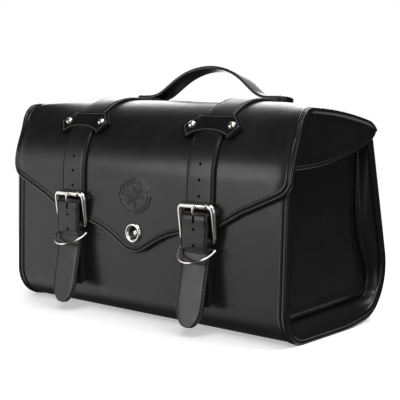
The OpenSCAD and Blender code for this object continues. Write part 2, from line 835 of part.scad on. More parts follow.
body_wrap();
back_panel();
front_board();
base_board();
back_board();
end_panel(-1);  // end_panel_left
end_panel(1);  // end_panel_right
gusset(-1);  // gusset_left
gusset(1);  // gusset_right
body_binding(-1);  // body_binding_left
body_binding(1);  // body_binding_right
hinge_strip();
mounting_eyelets();
lock_base();
lock_plug();
release_stud(-1);  // release_stud_left
release_stud(1);  // release_stud_right
lid_shell();
lid_board();
end_cap(-1);  // end_cap_left
end_cap(1);  // end_cap_right
lid_binding(-1);  // lid_binding_left
lid_binding(1);  // lid_binding_right
flap_binding();
cap_binding(-1);  // cap_binding_left
cap_binding(1);  // cap_binding_right
lock_eyelet();
lock_washer();
strap_upper(-1);  // strap_upper_left
strap_upper(1);  // strap_upper_right
keeper(-1);  // keeper_left
keeper(1);  // keeper_right
keeper_filler(-1);  // keeper_filler_left
keeper_filler(1);  // keeper_filler_right
keeper_rivets(-1);  // keeper_rivets_left
keeper_rivets(1);  // keeper_rivets_right
handle_strap();
handle_pads();
handle_rivets();
billet(-1);  // billet_left
billet(1);  // billet_right
chape(-1);  // chape_left
chape(1);  // chape_right
release_socket(-1);  // release_socket_left
release_socket(1);  // release_socket_right
buckle_frame(-1);  // buckle_frame_left
buckle_frame(1);  // buckle_frame_right
buckle_prong(-1);  // buckle_prong_left
buckle_prong(1);  // buckle_prong_right
buckle_roller(-1);  // buckle_roller_left
buckle_roller(1);  // buckle_roller_right
strap_ring(-1);  // strap_ring_left
strap_ring(1);  // strap_ring_right
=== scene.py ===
"""Leather saddlebag: shaped leather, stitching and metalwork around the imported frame.

Every length below is in millimetres and is turned into metres when a mesh is made.
X runs along the bag, Y from the front to the back, Z up.
"""

import math

import bmesh
import bpy
import numpy as np
from mathutils import Matrix, Vector


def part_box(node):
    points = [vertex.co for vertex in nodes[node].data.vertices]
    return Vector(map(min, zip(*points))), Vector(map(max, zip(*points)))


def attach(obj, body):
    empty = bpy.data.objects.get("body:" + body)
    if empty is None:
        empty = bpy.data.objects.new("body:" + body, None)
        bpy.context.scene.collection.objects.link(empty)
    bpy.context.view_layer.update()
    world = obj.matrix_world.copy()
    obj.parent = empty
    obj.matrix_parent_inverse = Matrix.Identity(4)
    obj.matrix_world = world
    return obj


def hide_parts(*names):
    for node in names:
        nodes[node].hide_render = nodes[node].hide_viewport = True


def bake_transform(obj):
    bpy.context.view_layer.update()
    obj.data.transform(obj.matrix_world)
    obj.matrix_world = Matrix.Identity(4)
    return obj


MM = 0.001
SIDES = {"left": -1, "right": 1}
SHARP_ANGLE = math.radians(48)
ALONG_X = np.array([1.0, 0, 0])

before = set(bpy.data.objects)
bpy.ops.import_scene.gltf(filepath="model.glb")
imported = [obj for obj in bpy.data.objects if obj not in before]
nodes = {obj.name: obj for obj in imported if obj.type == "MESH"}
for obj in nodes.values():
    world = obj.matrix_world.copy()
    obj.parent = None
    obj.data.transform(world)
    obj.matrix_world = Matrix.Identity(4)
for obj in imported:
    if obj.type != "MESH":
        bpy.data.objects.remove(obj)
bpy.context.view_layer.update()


# ---- Sizes taken from the frame ----

def box_mm(node):
    """Lowest and highest corner of a CAD node in millimetres."""
    low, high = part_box(node)
    return np.array(low) / MM, np.array(high) / MM


wrap_low = box_mm("body_wrap")[0]
binding_high = box_mm("body_binding_right")[1]
lid_low, lid_high = box_mm("lid_shell")
billet_low, billet_high = box_mm("billet_right")
roller_low, roller_high = box_mm("buckle_roller_right")
eyelet_low, eyelet_high = box_mm("lock_eyelet")

FRONT = wrap_low[1]
BODY_HALF = binding_high[0]
RIM_Z = binding_high[2]
LID_HALF = lid_high[0]
STRAP_X = (billet_low[0] + billet_high[0]) / 2
STRAP_W = billet_high[0] - billet_low[0]
STRAP_T = 3.2
TIP_Z = billet_low[2]
LOCK_Z = (eyelet_low[2] + eyelet_high[2]) / 2


# ---- Curves ----

def smooth(t):
    """Smoothstep: 3t^2 - 2t^3 with t held between 0 and 1."""
    t = np.clip(t, 0, 1)
    return t * t * (3 - 2 * t)


def arc(cy, cz, r, a0, a1, n=24):
    """Points (y, z) on a circle of radius r about (cy, cz), from angle a0 to a1 in degrees."""
    a = np.radians(np.linspace(a0, a1, n))
    return np.stack([cy + r * np.cos(a), cz + r * np.sin(a)], -1)


def bezier(p0, p1, p2, p3, n=24):
    """Cubic Bezier: the four points weighted by the Bernstein polynomials."""
    t = np.linspace(0, 1, n)[:, None]
    p0, p1, p2, p3 = (np.array(p, float) for p in (p0, p1, p2, p3))
    return (1 - t) ** 3 * p0 + 3 * t * (1 - t) ** 2 * p1 + 3 * t * t * (1 - t) * p2 + t ** 3 * p3


def joined(*runs):
    """Several point runs as one, without the doubled points where they meet."""
    points = np.concatenate([np.array(run, float) for run in runs])
    step = np.linalg.norm(np.diff(points, axis=0), axis=1)
    return points[np.concatenate([[True], step > 1e-4])]


def length_along(points):
    """Distance along a polyline at each of its points."""
    return np.concatenate([[0], np.cumsum(np.linalg.norm(np.diff(points, axis=0), axis=1))])


def resampled(points, n):
    """The same polyline with n points at equal distances along it."""
    s = length_along(points)
    t = np.linspace(0, s[-1], n)
    return np.stack([np.interp(t, s, points[:, k]) for k in range(points.shape[1])], -1)


def unit(v):
    """Vectors divided by their own length."""
    return v / np.maximum(np.linalg.norm(v, axis=-1, keepdims=True), 1e-9)


def tangents(points, closed=False):
    """Unit central differences along a path."""
    if closed:
        return unit(np.roll(points, -1, 0) - np.roll(points, 1, 0))
    return unit(np.gradient(points, axis=0))


def in_x(x, yz):
    """A side-view curve (y, z) placed at one x."""
    return np.stack([np.full(len(yz), float(x)), yz[:, 0], yz[:, 1]], -1)


def extruded(x, yz):
    """A grid of points: a side-view curve (y, z) repeated at each x."""
    shape = (len(x), len(yz))
    return np.stack([np.broadcast_to(x[:, None], shape), np.broadcast_to(yz[:, 0], shape),
                     np.broadcast_to(yz[:, 1], shape)], -1)


def dome_outline(r, h, base, n):
    """A quarter ellipse (r, h) from its rim at a base height up to its crown."""
    return [(r * math.cos(b), base + h * math.sin(b)) for b in np.linspace(0, np.pi / 2, n)]


# ---- Meshes ----

def quads(nu, nv, close_u=False, close_v=False, start=0):
    """Four-sided faces between neighbours of a nu by nv grid of points."""
    i = np.arange(nu if close_u else nu - 1)
    j = np.arange(nv if close_v else nv - 1)
    i, j = np.meshgrid(i, j, indexing="ij")
    i2, j2 = (i + 1) % nu, (j + 1) % nv
    corners = np.stack([i * nv + j, i2 * nv + j, i2 * nv + j2, i * nv + j2], -1)
    return corners.reshape(-1, 4) + start


def tube_faces(nu, nv):
    """Faces of nu rings of nv points in a row, with a flat face on each end."""
    around = [list(f) for f in quads(nu, nv, close_v=True)]
    return around + [list(range(nv)), list(range((nu - 1) * nv, nu * nv))]


def piece(name, points, faces, material, flat=False, merge=0.0):
    """A mesh object at the origin with its place in its mesh, its normals turned outwards."""
    mesh = bpy.data.meshes.new(name)
    mesh.from_pydata((np.asarray(points) * MM).tolist(), [], [list(map(int, f)) for f in faces])
    tidy = bmesh.new()
    tidy.from_mesh(mesh)
    if merge:
        bmesh.ops.remove_doubles(tidy, verts=tidy.verts, dist=merge * MM)
    bmesh.ops.recalc_face_normals(tidy, faces=tidy.faces)
    tidy.to_mesh(mesh)
    tidy.free()
    mesh.polygons.foreach_set("use_smooth", np.full(len(mesh.polygons), not flat))
    mesh.set_sharp_from_angle(angle=SHARP_ANGLE)
    mesh.materials.append(material)
    obj = bpy.data.objects.new(name, mesh)
    bpy.context.scene.collection.objects.link(obj)
    return obj


def rounded(obj, width):
    """Rounds the edges that turn by more than 35 degrees."""
    bevel = obj.modifiers.new("edge", "BEVEL")
    bevel.width = width * MM
    bevel.segments = 2
    bevel.limit_method = "ANGLE"
    bevel.angle_limit = math.radians(35)
    return obj


def slab(name, outer, inner, material, edge=0.6):
    """A closed sheet of leather: an outer grid, an inner grid and a wall round their edges."""
    nu, nv = outer.shape[:2]
    count = nu * nv
    index = np.arange(count).reshape(nu, nv)
    loop = np.concatenate([index[:-1, 0], index[-1, :-1], index[:0:-1, -1], index[0, :0:-1]])
    wall = np.stack([loop, np.roll(loop, -1), np.roll(loop, -1) + count, loop + count], -1)
    faces = np.concatenate([quads(nu, nv), quads(nu, nv, start=count)[:, ::-1], wall])
    points = np.concatenate([outer.reshape(-1, 3), inner.reshape(-1, 3)])
    obj = piece(name, points, faces, material)
    return rounded(obj, edge) if edge else obj


def sweep(name, path, side, up, profile, material, closed=False):
    """A closed profile (a, b) carried along a path: each point is path + a side + b up."""
    profile = np.asarray(profile, float)
    if profile.ndim == 2:
        profile = np.broadcast_to(profile, (len(path),) + profile.shape)
    grid = path[:, None] + profile[..., :1] * side[:, None] + profile[..., 1:] * up[:, None]
    nu, nv = grid.shape[:2]
    faces = quads(nu, nv, close_u=True, close_v=True) if closed else tube_faces(nu, nv)
    return piece(name, grid.reshape(-1, 3), faces, material)


def tube(name, path, radius, material, up, closed=False, sides=20, flat=1.0):
    """A round wire along a path. Its radius may change, and flat squeezes it along up."""
    t = tangents(path, closed)
    side = unit(np.cross(t, np.asarray(up, float)))
    over = np.cross(side, t)
    a = np.linspace(0, 2 * np.pi, sides, endpoint=False)
    r = np.broadcast_to(np.asarray(radius, float), (len(path),))[:, None]
    profile = np.stack([r * np.cos(a), flat * r * np.sin(a)], -1)
    return sweep(name, path, side, over, profile, material, closed)


def lathe(name, centre, axis, outline, material, turns=48):
    """An outline (r, h) turned about an axis through centre; it closes on itself."""
    axis = unit(np.asarray(axis, float))
    side = unit(np.cross(axis, (0.0, 0.0, 1.0) if abs(axis[2]) < 0.9 else (1.0, 0.0, 0.0)))
    over = np.cross(axis, side)
    a = np.linspace(0, 2 * np.pi, turns, endpoint=False)
    ray = np.cos(a)[:, None] * side + np.sin(a)[:, None] * over
    outline = np.asarray(outline, float)
    grid = (np.asarray(centre, float) + ray[:, None] * outline[None, :, :1]
            + axis * outline[None, :, 1:])
    faces = quads(turns, len(outline), close_u=True, close_v=True)
    return piece(name, grid.reshape(-1, 3), faces, material, merge=0.01)


def bore(start, axis, radius, depth, material):
    """A round cutter that runs from a start point along an axis."""
    return lathe("hole", start, axis, [(0, 0), (radius, 0), (radius, depth), (0, depth)], material)


def stitches(name, path, up, material, pitch=3.3, length=2.3, radius=0.42, slant=0.0, sink=0.1):
    """A row of short round threads along a path, each lying in the leather's surface.

    Each thread is a capsule: rings of six points whose radius swells from the ends to the
    middle, turned by the slant in the surface.
    """
    s = length_along(path)
    count = max(2, int(s[-1] / pitch))
    at = (np.arange(count) + 0.5) * s[-1] / count
    centre = np.stack([np.interp(at, s, path[:, k]) for k in range(3)], -1)
    t = unit(np.stack([np.interp(at, s, tangents(path)[:, k]) for k in range(3)], -1))
    n = unit(np.stack([np.interp(at, s, up[:, k]) for k in range(3)], -1))
    b = np.cross(n, t)
    t, b = math.cos(slant) * t + math.sin(slant) * b, math.cos(slant) * b - math.sin(slant) * t
    along = np.array([-0.5, -0.4, 0.0, 0.4, 0.5]) * length
    swell = np.array([0.35, 0.85, 1.0, 0.85, 0.35]) * radius
    dip = np.array([-0.9, -0.3, 0.0, -0.3, -0.9]) * radius
    a = np.linspace(0, 2 * np.pi, 6, endpoint=False)
    ring = (along[:, None, None] * t[:, None, None]
            + swell[:, None, None] * np.cos(a)[:, None] * b[:, None, None]
            + (swell[:, None, None] * np.sin(a)[:, None] + dip[:, None, None] - sink)
            * n[:, None, None])
    points = (centre[:, None, None] + ring).reshape(-1, 3)
    one = tube_faces(len(along), len(a))
    faces = [[v + k * len(along) * len(a) for v in f] for k in range(count) for f in one]
    return piece(name, points, faces, material)


def together(name, parts):
    """Several new meshes joined as one piece."""
    base = parts[0]
    merged = bmesh.new()
    for part in parts:
        merged.from_mesh(part.data)
    merged.to_mesh(base.data)
    merged.free()
    for part in parts[1:]:
        bpy.data.objects.remove(part)
    base.name = name
    base.data.name = name
    return base


def drilled(obj, cutter):
    """The object with the cutter's solids taken out of it."""
    cut = obj.modifiers.new("holes", "BOOLEAN")
    cut.operation = "DIFFERENCE"
    cut.solver = "EXACT"
    cut.object = cutter
    bpy.context.view_layer.update()
    done = bpy.data.meshes.new_from_object(obj.evaluated_get(bpy.context.evaluated_depsgraph_get()))
    obj.modifiers.remove(cut)
    done.set_sharp_from_angle(angle=SHARP_ANGLE)
    obj.data = done
    bpy.data.objects.remove(cutter)
    return obj


def fitted(obj, slot, body, *stands_for):
    """Fits a new piece in: attaches it to its body and hides the CAD nodes it stands for. The slot
    argument is not used.
    """
    if stands_for:
        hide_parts(*stands_for)
    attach(obj, body)


# ---- Materials ----

class Nodes:
    """Short calls for building one material's node tree."""

    def __init__(self, name):
        self.material = bpy.data.materials.new(name)
        self.material.use_nodes = True
        self.tree = self.material.node_tree
        self.shader = self.tree.nodes["Principled BSDF"]
        self.where = self.add("ShaderNodeTexCoord").outputs["Object"]

    def add(self, kind, **values):
        """A new node with its properties and inputs set by name."""
        node = self.tree.nodes.new(kind)
        for key, value in values.items():
            if hasattr(node, key):
                setattr(node, key, value)
            else:
                node.inputs[key.replace("_", " ")].default_value = value
        return node

    def link(self, source, target):
        """A wire from an output to an input."""
        self.tree.links.new(source, target)

    def noise(self, scale, detail=4.0, roughness=0.55, stretch=None):
        """Noise at a scale in features per metre, stretched by a Mapping node if asked."""
        node = self.add("ShaderNodeTexNoise", Scale=scale, Detail=detail, Roughness=roughness)
        where = self.where
        if stretch:
            mapping = self.add("ShaderNodeMapping")
            mapping.inputs["Scale"].default_value = stretch
            self.link(self.where, mapping.inputs["Vector"])
            where = mapping.outputs["Vector"]
        self.link(where, node.inputs["Vector"])
        return node.outputs["Fac"]

    def cells(self, scale):
        """Distance to the nearest of scattered points, which gives the leather's pores."""
        node = self.add("ShaderNodeTexVoronoi", Scale=scale)
        self.link(self.where, node.inputs["Vector"])
        return node.outputs["Distance"]

    def spread(self, source, low, high, from_low=0.3, from_high=0.7):
        """The source's middle range spread between low and high."""
        node = self.add("ShaderNodeMapRange")
        for key, value in (("From Min", from_low), ("From Max", from_high),
                           ("To Min", low), ("To Max", high)):
            node.inputs[key].default_value = value
        self.link(source, node.inputs["Value"])
        return node.outputs["Result"]

    def colour(self, source, low, high):
        """A ramp between two colours over the source's middle range."""
        ramp = self.add("ShaderNodeValToRGB")
        ramp.color_ramp.elements[0].position = 0.3
        ramp.color_ramp.elements[1].position = 0.7
        ramp.color_ramp.elements[0].color = (*low, 1)
        ramp.color_ramp.elements[1].color = (*high, 1)
        self.link(source, ramp.inputs["Fac"])
        self.link(ramp.outputs["Color"], self.shader.inputs["Base Color"])

    def bump(self, layers):
        """Bump layers (height, strength, distance in mm) stacked into the shader's normal."""
        last = None
        for height, strength, distance in layers:
            node = self.add("ShaderNodeBump")
            node.inputs["Strength"].default_value = strength
            node.inputs["Distance"].default_value = distance * MM
            self.link(height, node.inputs["Height"])
            if last:
                self.link(last, node.inputs["Normal"])
            last = node.outputs["Normal"]
        self.link(last, self.shader.inputs["Normal"])

    def set(self, **values):
        """Numbers and colours that are the same all over, on the shader's own sockets."""
        for key, value in values.items():
            self.shader.inputs[key.replace("_", " ")].default_value = value


def leather(name, tone, roughness, coat, grain):
    """Polished black leather: fine pores, a faint uneven stretch, and a waxed top coat."""
    n = Nodes(name)
    broad = n.noise(14, 3)
    fine = n.noise(900, 5, 0.6)
    n.colour(broad, tuple(0.8 * c for c in tone), tuple(1.25 * c for c in tone))
    n.link(n.spread(n.noise(60, 4), roughness * 0.85, roughness * 1.2), n.shader.inputs["Roughness"])
    n.bump([(broad, 0.35, 1.2), (n.cells(1400), grain, 0.05), (fine, grain, 0.04)])
    n.set(Coat_Weight=coat, Coat_Roughness=0.14, Specular_IOR_Level=0.36)
    return n.material


def thread(name, tone):
    """Twisted thread: a fine diagonal ply over its colour."""
    n = Nodes(name)
    ply = n.noise(2600, 2, 0.5, stretch=(1, 1, 2.5))
    n.colour(ply, tuple(0.6 * c for c in tone), tone)
    n.bump([(ply, 0.6, 0.1)])
    n.set(Roughness=0.9, Specular_IOR_Level=0.1)
    return n.material


def nickel(name, tone, roughness):
    """Polished nickel plate: a warm white metal with faint rubbing marks."""
    n = Nodes(name)
    rub = n.noise(260, 5, 0.6, stretch=(1, 1, 6))
    n.colour(n.noise(90, 3), tuple(0.9 * c for c in tone), tone)
    n.link(n.spread(rub, roughness * 0.88, roughness * 1.15), n.shader.inputs["Roughness"])
    n.bump([(rub, 0.02, 0.02)])
    n.set(Metallic=1.0)
    return n.material


def shade_dark(name):
    """A dull dark metal with blotches; its near-black tone is painted shade for the dark inside of the
    lock hole.
    """
    n = Nodes(name)
    blotch = n.noise(180, 4)
    n.colour(blotch, (0.012, 0.012, 0.012), (0.03, 0.029, 0.028))
    n.link(n.spread(blotch, 0.45, 0.7), n.shader.inputs["Roughness"])
    n.bump([(blotch, 0.1, 0.05)])
    n.set(Metallic=0.6)
    return n.material


def board(name):
    """Pressed fibreboard: flecks of fibre in two browns."""
    n = Nodes(name)
    fleck = n.noise(420, 6, 0.7, stretch=(1, 1, 0.4))
    n.colour(fleck, (0.11, 0.08, 0.055), (0.24, 0.18, 0.12))
    n.bump([(fleck, 0.4, 0.15)])
    n.set(Roughness=0.85)
    return n.material


def plastic(name):
    """Moulded black plastic with a fine spark-eroded texture."""
    n = Nodes(name)
    spark = n.noise(1500, 3)
    n.colour(spark, (0.010, 0.010, 0.010), (0.018, 0.018, 0.018))
    n.link(n.spread(spark, 0.38, 0.55), n.shader.inputs["Roughness"])
    n.bump([(spark, 0.3, 0.05)])
    return n.material


shell_leather = leather("shell leather", (0.0075, 0.0075, 0.0077), 0.36, coat=0.28, grain=0.08)
end_leather = leather("end leather", (0.0055, 0.0055, 0.0057), 0.38, coat=0.18, grain=0.1)
binding_leather = leather("binding leather", (0.0055, 0.0055, 0.0057), 0.28, coat=0.3, grain=0.15)
strap_leather = leather("strap leather", (0.008, 0.008, 0.0082), 0.36, coat=0.25, grain=0.12)
keeper_leather = leather("keeper leather", (0.0055, 0.0055, 0.0056), 0.24, coat=0.5, grain=0.1)
edge_leather = leather("cut leather edge", (0.004, 0.004, 0.004), 0.55, coat=0.05, grain=0.5)
black_thread = thread("black thread", (0.006, 0.006, 0.006))
grey_thread = thread("grey thread", (0.22, 0.22, 0.215))
pale_thread = thread("pale thread", (0.5, 0.5, 0.49))
polished_nickel = nickel("polished nickel", (0.95, 0.91, 0.85), 0.2)
# near-black metal: its tone is painted shade for the inside of the lock hole
shade_dark_steel = shade_dark("blackened steel")
fibreboard = board("fibreboard")
release_plastic = plastic("release plastic")


# ---- Lid surface ----
# q runs along the lid's side outline: -1 to 0 up the flap, 0 to 1 round the front shoulder,
# 1 to 2 over the crown and 2 to 3 down the rear bend to the hinge.

FLAP_Y = lid_low[1]
FLAP_TIP_Z = lid_low[2]
CREST_Z = lid_high[2]
LID_REAR_Y = lid_high[1]
HINGE_Z = 211.0
LID_T = 3.5
STRAIGHT_Z = 165.0
CROWN_R = 300.0
SHOULDER_R = 82.0
REAR_R = 26.0
CROWN_Y = FRONT + 80.0
SHOULDER_Y = FLAP_Y + SHOULDER_R
CROWN_C = CREST_Z - CROWN_R
SHOULDER_C = CROWN_C + math.sqrt((CROWN_R - SHOULDER_R) ** 2 - (SHOULDER_Y - CROWN_Y) ** 2)
REAR_CY = LID_REAR_Y - REAR_R
REAR_CZ = CROWN_C + math.sqrt((CROWN_R - REAR_R) ** 2 - (REAR_CY - CROWN_Y) ** 2)
END_BLEND_START = 112.0
END_DROP = 7.0
CURL = 3.4
CURL_WIDTH = 22.0
LID_EDGE_Q = 2.72    # where the rear bend's bound edge starts


def lid_outlines():
    """The lid's side outline at the middle and at the ends, each as q, y, z columns.

    The middle follows the frame's arcs. The ends are boxier: the front leans in slightly,
    turns a tight corner and runs back almost flat, END_DROP lower than the crest.
    """
    shoulder_a = math.degrees(math.atan2(SHOULDER_C - CROWN_C, SHOULDER_Y - CROWN_Y))
    rear_a = math.degrees(math.atan2(REAR_CZ - CROWN_C, REAR_CY - CROWN_Y))
    flap = [(FLAP_Y, FLAP_TIP_Z), (FLAP_Y, STRAIGHT_Z)]
    middle = [flap,
              joined([(FLAP_Y, STRAIGHT_Z)],
                     arc(SHOULDER_Y, SHOULDER_C, SHOULDER_R, 180, shoulder_a, 60)),
              arc(CROWN_Y, CROWN_C, CROWN_R, shoulder_a, rear_a, 40),
              joined(arc(REAR_CY, REAR_CZ, REAR_R, rear_a, 0, 30), [(LID_REAR_Y, HINGE_Z)])]
    top = CREST_Z - END_DROP
    back = [(FRONT + y, top - 0.0008 * (y - 30.0) ** 2) for y in np.linspace(32, 148, 30)]
    ends = [flap,
            joined(bezier((FLAP_Y, STRAIGHT_Z), (FLAP_Y, 182), (FRONT + 1, 196), (FRONT + 5.5, 210)),
                   bezier((FRONT + 5.5, 210), (FRONT + 9, 226), (FRONT + 16, top), back[0])),
            back,
            joined(bezier(back[-1], (FRONT + 158, 226.5), (LID_REAR_Y, 222), (LID_REAR_Y, HINGE_Z)))]
    tables = []
    for runs in (middle, ends):
        rows = [np.column_stack([k - 1 + np.linspace(0, 1, 60), resampled(np.array(run, float), 60)])
                for k, run in enumerate(runs)]
        tables.append(np.concatenate([rows[0]] + [row[1:] for row in rows[1:]]))
    return tables


LID_MIDDLE, LID_ENDS = lid_outlines()


def lid_surface(x, q):
    """Outer face of the lid: the middle outline blended into the end outline towards the ends.

    The blend weight is the square of how far x is past the straps, and near the ends the
    flap also curls back by the square of how far x is into the last CURL_WIDTH.
    """
    x, q = np.broadcast_arrays(np.asarray(x, float), np.asarray(q, float))
    w = np.clip((np.abs(x) - END_BLEND_START) / (LID_HALF - END_BLEND_START), 0, 1) ** 2
    y, z = ((1 - w) * np.interp(q, LID_MIDDLE[:, 0], LID_MIDDLE[:, k])
            + w * np.interp(q, LID_ENDS[:, 0], LID_ENDS[:, k]) for k in (1, 2))
    curl = CURL * np.clip((np.abs(x) - LID_HALF + CURL_WIDTH) / CURL_WIDTH, 0, 1) ** 2
    front = smooth((1.2 - q) / 0.8)
    return np.stack([x, y + curl * front, z - curl * (1 - front) * 0.35], -1)


STEP_X, STEP_Q = 0.4, 0.004


def lid_normal(x, q):
    """Outward unit normal of the lid's outer face, from small steps along and across it."""
    inward = -np.sign(np.where(np.asarray(x, float) == 0, 1.0, x)) * STEP_X
    across = (lid_surface(x + inward, q) - lid_surface(x, q)) * np.sign(inward)[..., None]
    down = np.maximum(np.asarray(q, float) - STEP_Q, -1.0)
    over = np.minimum(np.asarray(q, float) + STEP_Q, 3.0)
    along = lid_surface(x, over) - lid_surface(x, down)
    return unit(np.cross(across, along))


TIP_HALF = 18.8
TIP_RISE = 6.0
SWEEP_END = LID_HALF - 58.5
SWEEP_SLOPE = 0.375
SWEEP_WAVE = 4.5
CORNER_R = 20.5
CORNER_SLOPE = math.radians(23.7)
CORNER_X = LID_HALF - CORNER_R
CORNER_IN = CORNER_X + CORNER_R * math.sin(CORNER_SLOPE)
SWEEP_Z = FLAP_TIP_Z + TIP_RISE + SWEEP_SLOPE * (SWEEP_END - TIP_HALF)
CORNER_C_Z = (SWEEP_Z + math.tan(CORNER_SLOPE) * (CORNER_IN - SWEEP_END)
              + CORNER_R * math.cos(CORNER_SLOPE))


def flap_edge_z(x):
    """Height of the flap's lower edge: round tip, wavy sweep, straight rise, round corner."""
    a = np.abs(x)
    tip = FLAP_TIP_Z + TIP_RISE * (a / TIP_HALF) ** 2
    turn = (a - TIP_HALF) / (SWEEP_END - TIP_HALF)
    sweep_part = (FLAP_TIP_Z + TIP_RISE + SWEEP_SLOPE * (a - TIP_HALF)
                  + SWEEP_WAVE * np.sin(2 * np.pi * np.clip(turn, 0, 1)))
    rise = SWEEP_Z + math.tan(CORNER_SLOPE) * (a - SWEEP_END)
    corner = CORNER_C_Z - np.sqrt(np.maximum(0, CORNER_R ** 2 - (a - CORNER_X) ** 2))
    return np.select([a < TIP_HALF, a < SWEEP_END, a < CORNER_IN], [tip, sweep_part, rise], corner)


def q_at_height(z):
    """q on the end outline at a height, for the flap and the lower shoulder."""
    low = LID_ENDS[:, 0] <= 1
    return np.interp(z, LID_ENDS[low, 2], LID_ENDS[low, 0])


def across_lid(n_middle=120, n_corner=22):
    """x stations over the lid, closing up round the flap's corners by equal angles."""
    a = np.linspace(CORNER_SLOPE, np.pi / 2, n_corner)
    corner = CORNER_X + CORNER_R * np.sin(a)
    middle = np.linspace(-CORNER_IN, CORNER_IN, n_middle)[1:-1]
    return np.concatenate([-corner[::-1], middle, corner])


# ---- Body ----

WRAP_T = 3.0
FRONT_TOP = 174.0
FRONT_BEND = 38.0
REAR_BEND = 60.0
LEAN = 17.0
LEAN_SIN, LEAN_COS = math.sin(math.radians(LEAN)), math.cos(math.radians(LEAN))
BEND_LIFT = 3.2
LIFT_BEHIND, LIFT_WIDTH, LIFT_HEIGHT = 8.0, 21.0, 40.0
BODY_DEPTH = 209.0
BODY_TOP_Z = RIM_Z + 2.0
REAR_C = FRONT + BODY_DEPTH - REAR_BEND
SHEET_INSET = 3.0       # a sheet's end from the body's rim
BULGE_LENGTH = 160.0    # how far down the front its bulge reaches
BACK_PROUD = 0.6        # the back panel over the rear bend
EYELET_FLANGE_R = 8.0
EYELET_HOLE_R = 4.4
EYELET_RISES = (27.0, 97.0)
SEAM_INSET = 14.0
SEAM_FROM_BEND = 3.0
SEAM_FROM_RIM = 5.0


def body_outline(inset=0.0):
    """Side outline of the body: down the front, round both bends and up the leaning back.

    A Gaussian of the depth lifts the bottom where it runs into the rear bend, fading out with
    height, which softens that bend.
    """
    start = np.array([REAR_C, REAR_BEND]) + (REAR_BEND - inset) * np.array([LEAN_COS, LEAN_SIN])
    rise = (BODY_TOP_Z - start[1]) / LEAN_COS
    end = start + rise * np.array([-LEAN_SIN, LEAN_COS])
    bottom = [(y, inset) for y in np.linspace(FRONT + FRONT_BEND, REAR_C, 30)]
    outline = joined([(FRONT + inset, FRONT_TOP), (FRONT + inset, FRONT_BEND + 1)],
                     arc(FRONT + FRONT_BEND, FRONT_BEND, FRONT_BEND - inset, 180, 270),
                     bottom, arc(REAR_C, REAR_BEND, REAR_BEND - inset, 270, 360 + LEAN, 40),
                     [start, end])
    near_bend = np.exp(-((outline[:, 0] - REAR_C - LIFT_BEHIND) / LIFT_WIDTH) ** 2)
    outline[:, 1] += BEND_LIFT * near_bend * np.clip(1 - outline[:, 1] / LIFT_HEIGHT, 0, 1)
    return outline


def outline_normals(outline):
    """Outward normals (0, y, z) of a side outline that runs down the front and up the back."""
    t = tangents(outline)
    return np.stack([np.zeros(len(t)), t[:, 1], -t[:, 0]], -1)


def make_wrap():
    """Front, bottom and rear bend in one sheet: the side outline carried along X.

    The front bulges by up to a millimetre, as the product of a sine down it and a cosine
    along it.
    """
    outline = resampled(body_outline(), 300)
    down = length_along(outline)
    lean_start = np.argmax((outline[:, 1] > REAR_BEND) & (outline[:, 0] > REAR_C))
    outline, down = outline[:lean_start + 2], down[:lean_start + 2]
    normal = outline_normals(outline)
    x = np.linspace(-BODY_HALF + SHEET_INSET, BODY_HALF - SHEET_INSET, 60)
    grid = extruded(x, outline)
    below = np.clip(down / BULGE_LENGTH, 0, 1)
    bulge = np.sin(np.pi * below)[None] * np.cos(np.pi * x / (2 * BODY_HALF))[:, None]
    outer = grid + bulge[..., None] * normal[None]
    wrap = slab("body_wrap_skin", outer, grid - WRAP_T * normal[None], shell_leather)
    fitted(wrap, "shell_leather", "body", "body_wrap")


def back_frame(up, out):
    """A point (y, z) at a distance up the leaning back and out from the bend's centre."""
    return (REAR_C + out * LEAN_COS - up * LEAN_SIN, REAR_BEND + out * LEAN_SIN + up * LEAN_COS)


def make_back():
    """Back panel: a flat leaning sheet with four punched holes and two rows of stitches."""
    top = (RIM_Z - REAR_BEND - REAR_BEND * LEAN_SIN) / LEAN_COS
    x = np.linspace(-BODY_HALF + SHEET_INSET, BODY_HALF - SHEET_INSET, 40)
    xs, ups = np.meshgrid(x, np.linspace(-1.0, top, 30), indexing="ij")
    outer, inner = (np.stack([xs, *back_frame(ups, REAR_BEND + out)], -1)
                    for out in (BACK_PROUD, -WRAP_T))
    panel = slab("back_panel_skin", outer, inner, shell_leather)
    eyelet_x = box_mm("mounting_eyelets")[1][0] - EYELET_FLANGE_R
    inward = (0, -LEAN_COS, -LEAN_SIN)
    holes = [bore((sx * eyelet_x, *back_frame(rise, REAR_BEND + 4)), inward, EYELET_HOLE_R, 12,
                  shell_leather) for sx in (-1, 1) for rise in EYELET_RISES]
    drilled(panel, together("holes", holes))
    fitted(panel, "shell_leather", "body", "back_panel")
    seam_x = np.linspace(-BODY_HALF + SEAM_INSET, BODY_HALF - SEAM_INSET, 60)
    outward = np.broadcast_to([0, LEAN_COS, LEAN_SIN], (60, 3))
    rows = []
    for rise in (SEAM_FROM_BEND, top - SEAM_FROM_RIM):
        seam = np.array([back_frame(rise, REAR_BEND + BACK_PROUD + 0.1)])
        rows.append(stitches("row", extruded(seam_x, seam)[:, 0], outward, black_thread))
    fitted(together("back_panel_thread", rows), "shell_leather", "body")


BINDING_EDGE = [(-9.6, -0.4), (-9.6, 0.6), (-8.9, 1.0), (-5.6, 1.0), (-4.9, 0.55), (-4.2, 1.15),
                (-2.4, 1.7), (-0.9, 1.5), (0.0, 0.3), (0.1, -3.2), (-0.2, -3.7), (0.1, -4.2),
                (-0.2, -7.6), (-1.0, -8.8), (-2.4, -9.2), (-3.6, -8.4), (-3.8, -3.2), (-3.4, -0.4)]
BORDER_ROW_IN, BORDER_ROW_PROUD = 7.3, 1.05
RIM_ROW_IN, RIM_ROW_PROUD = 6.0, 0.15


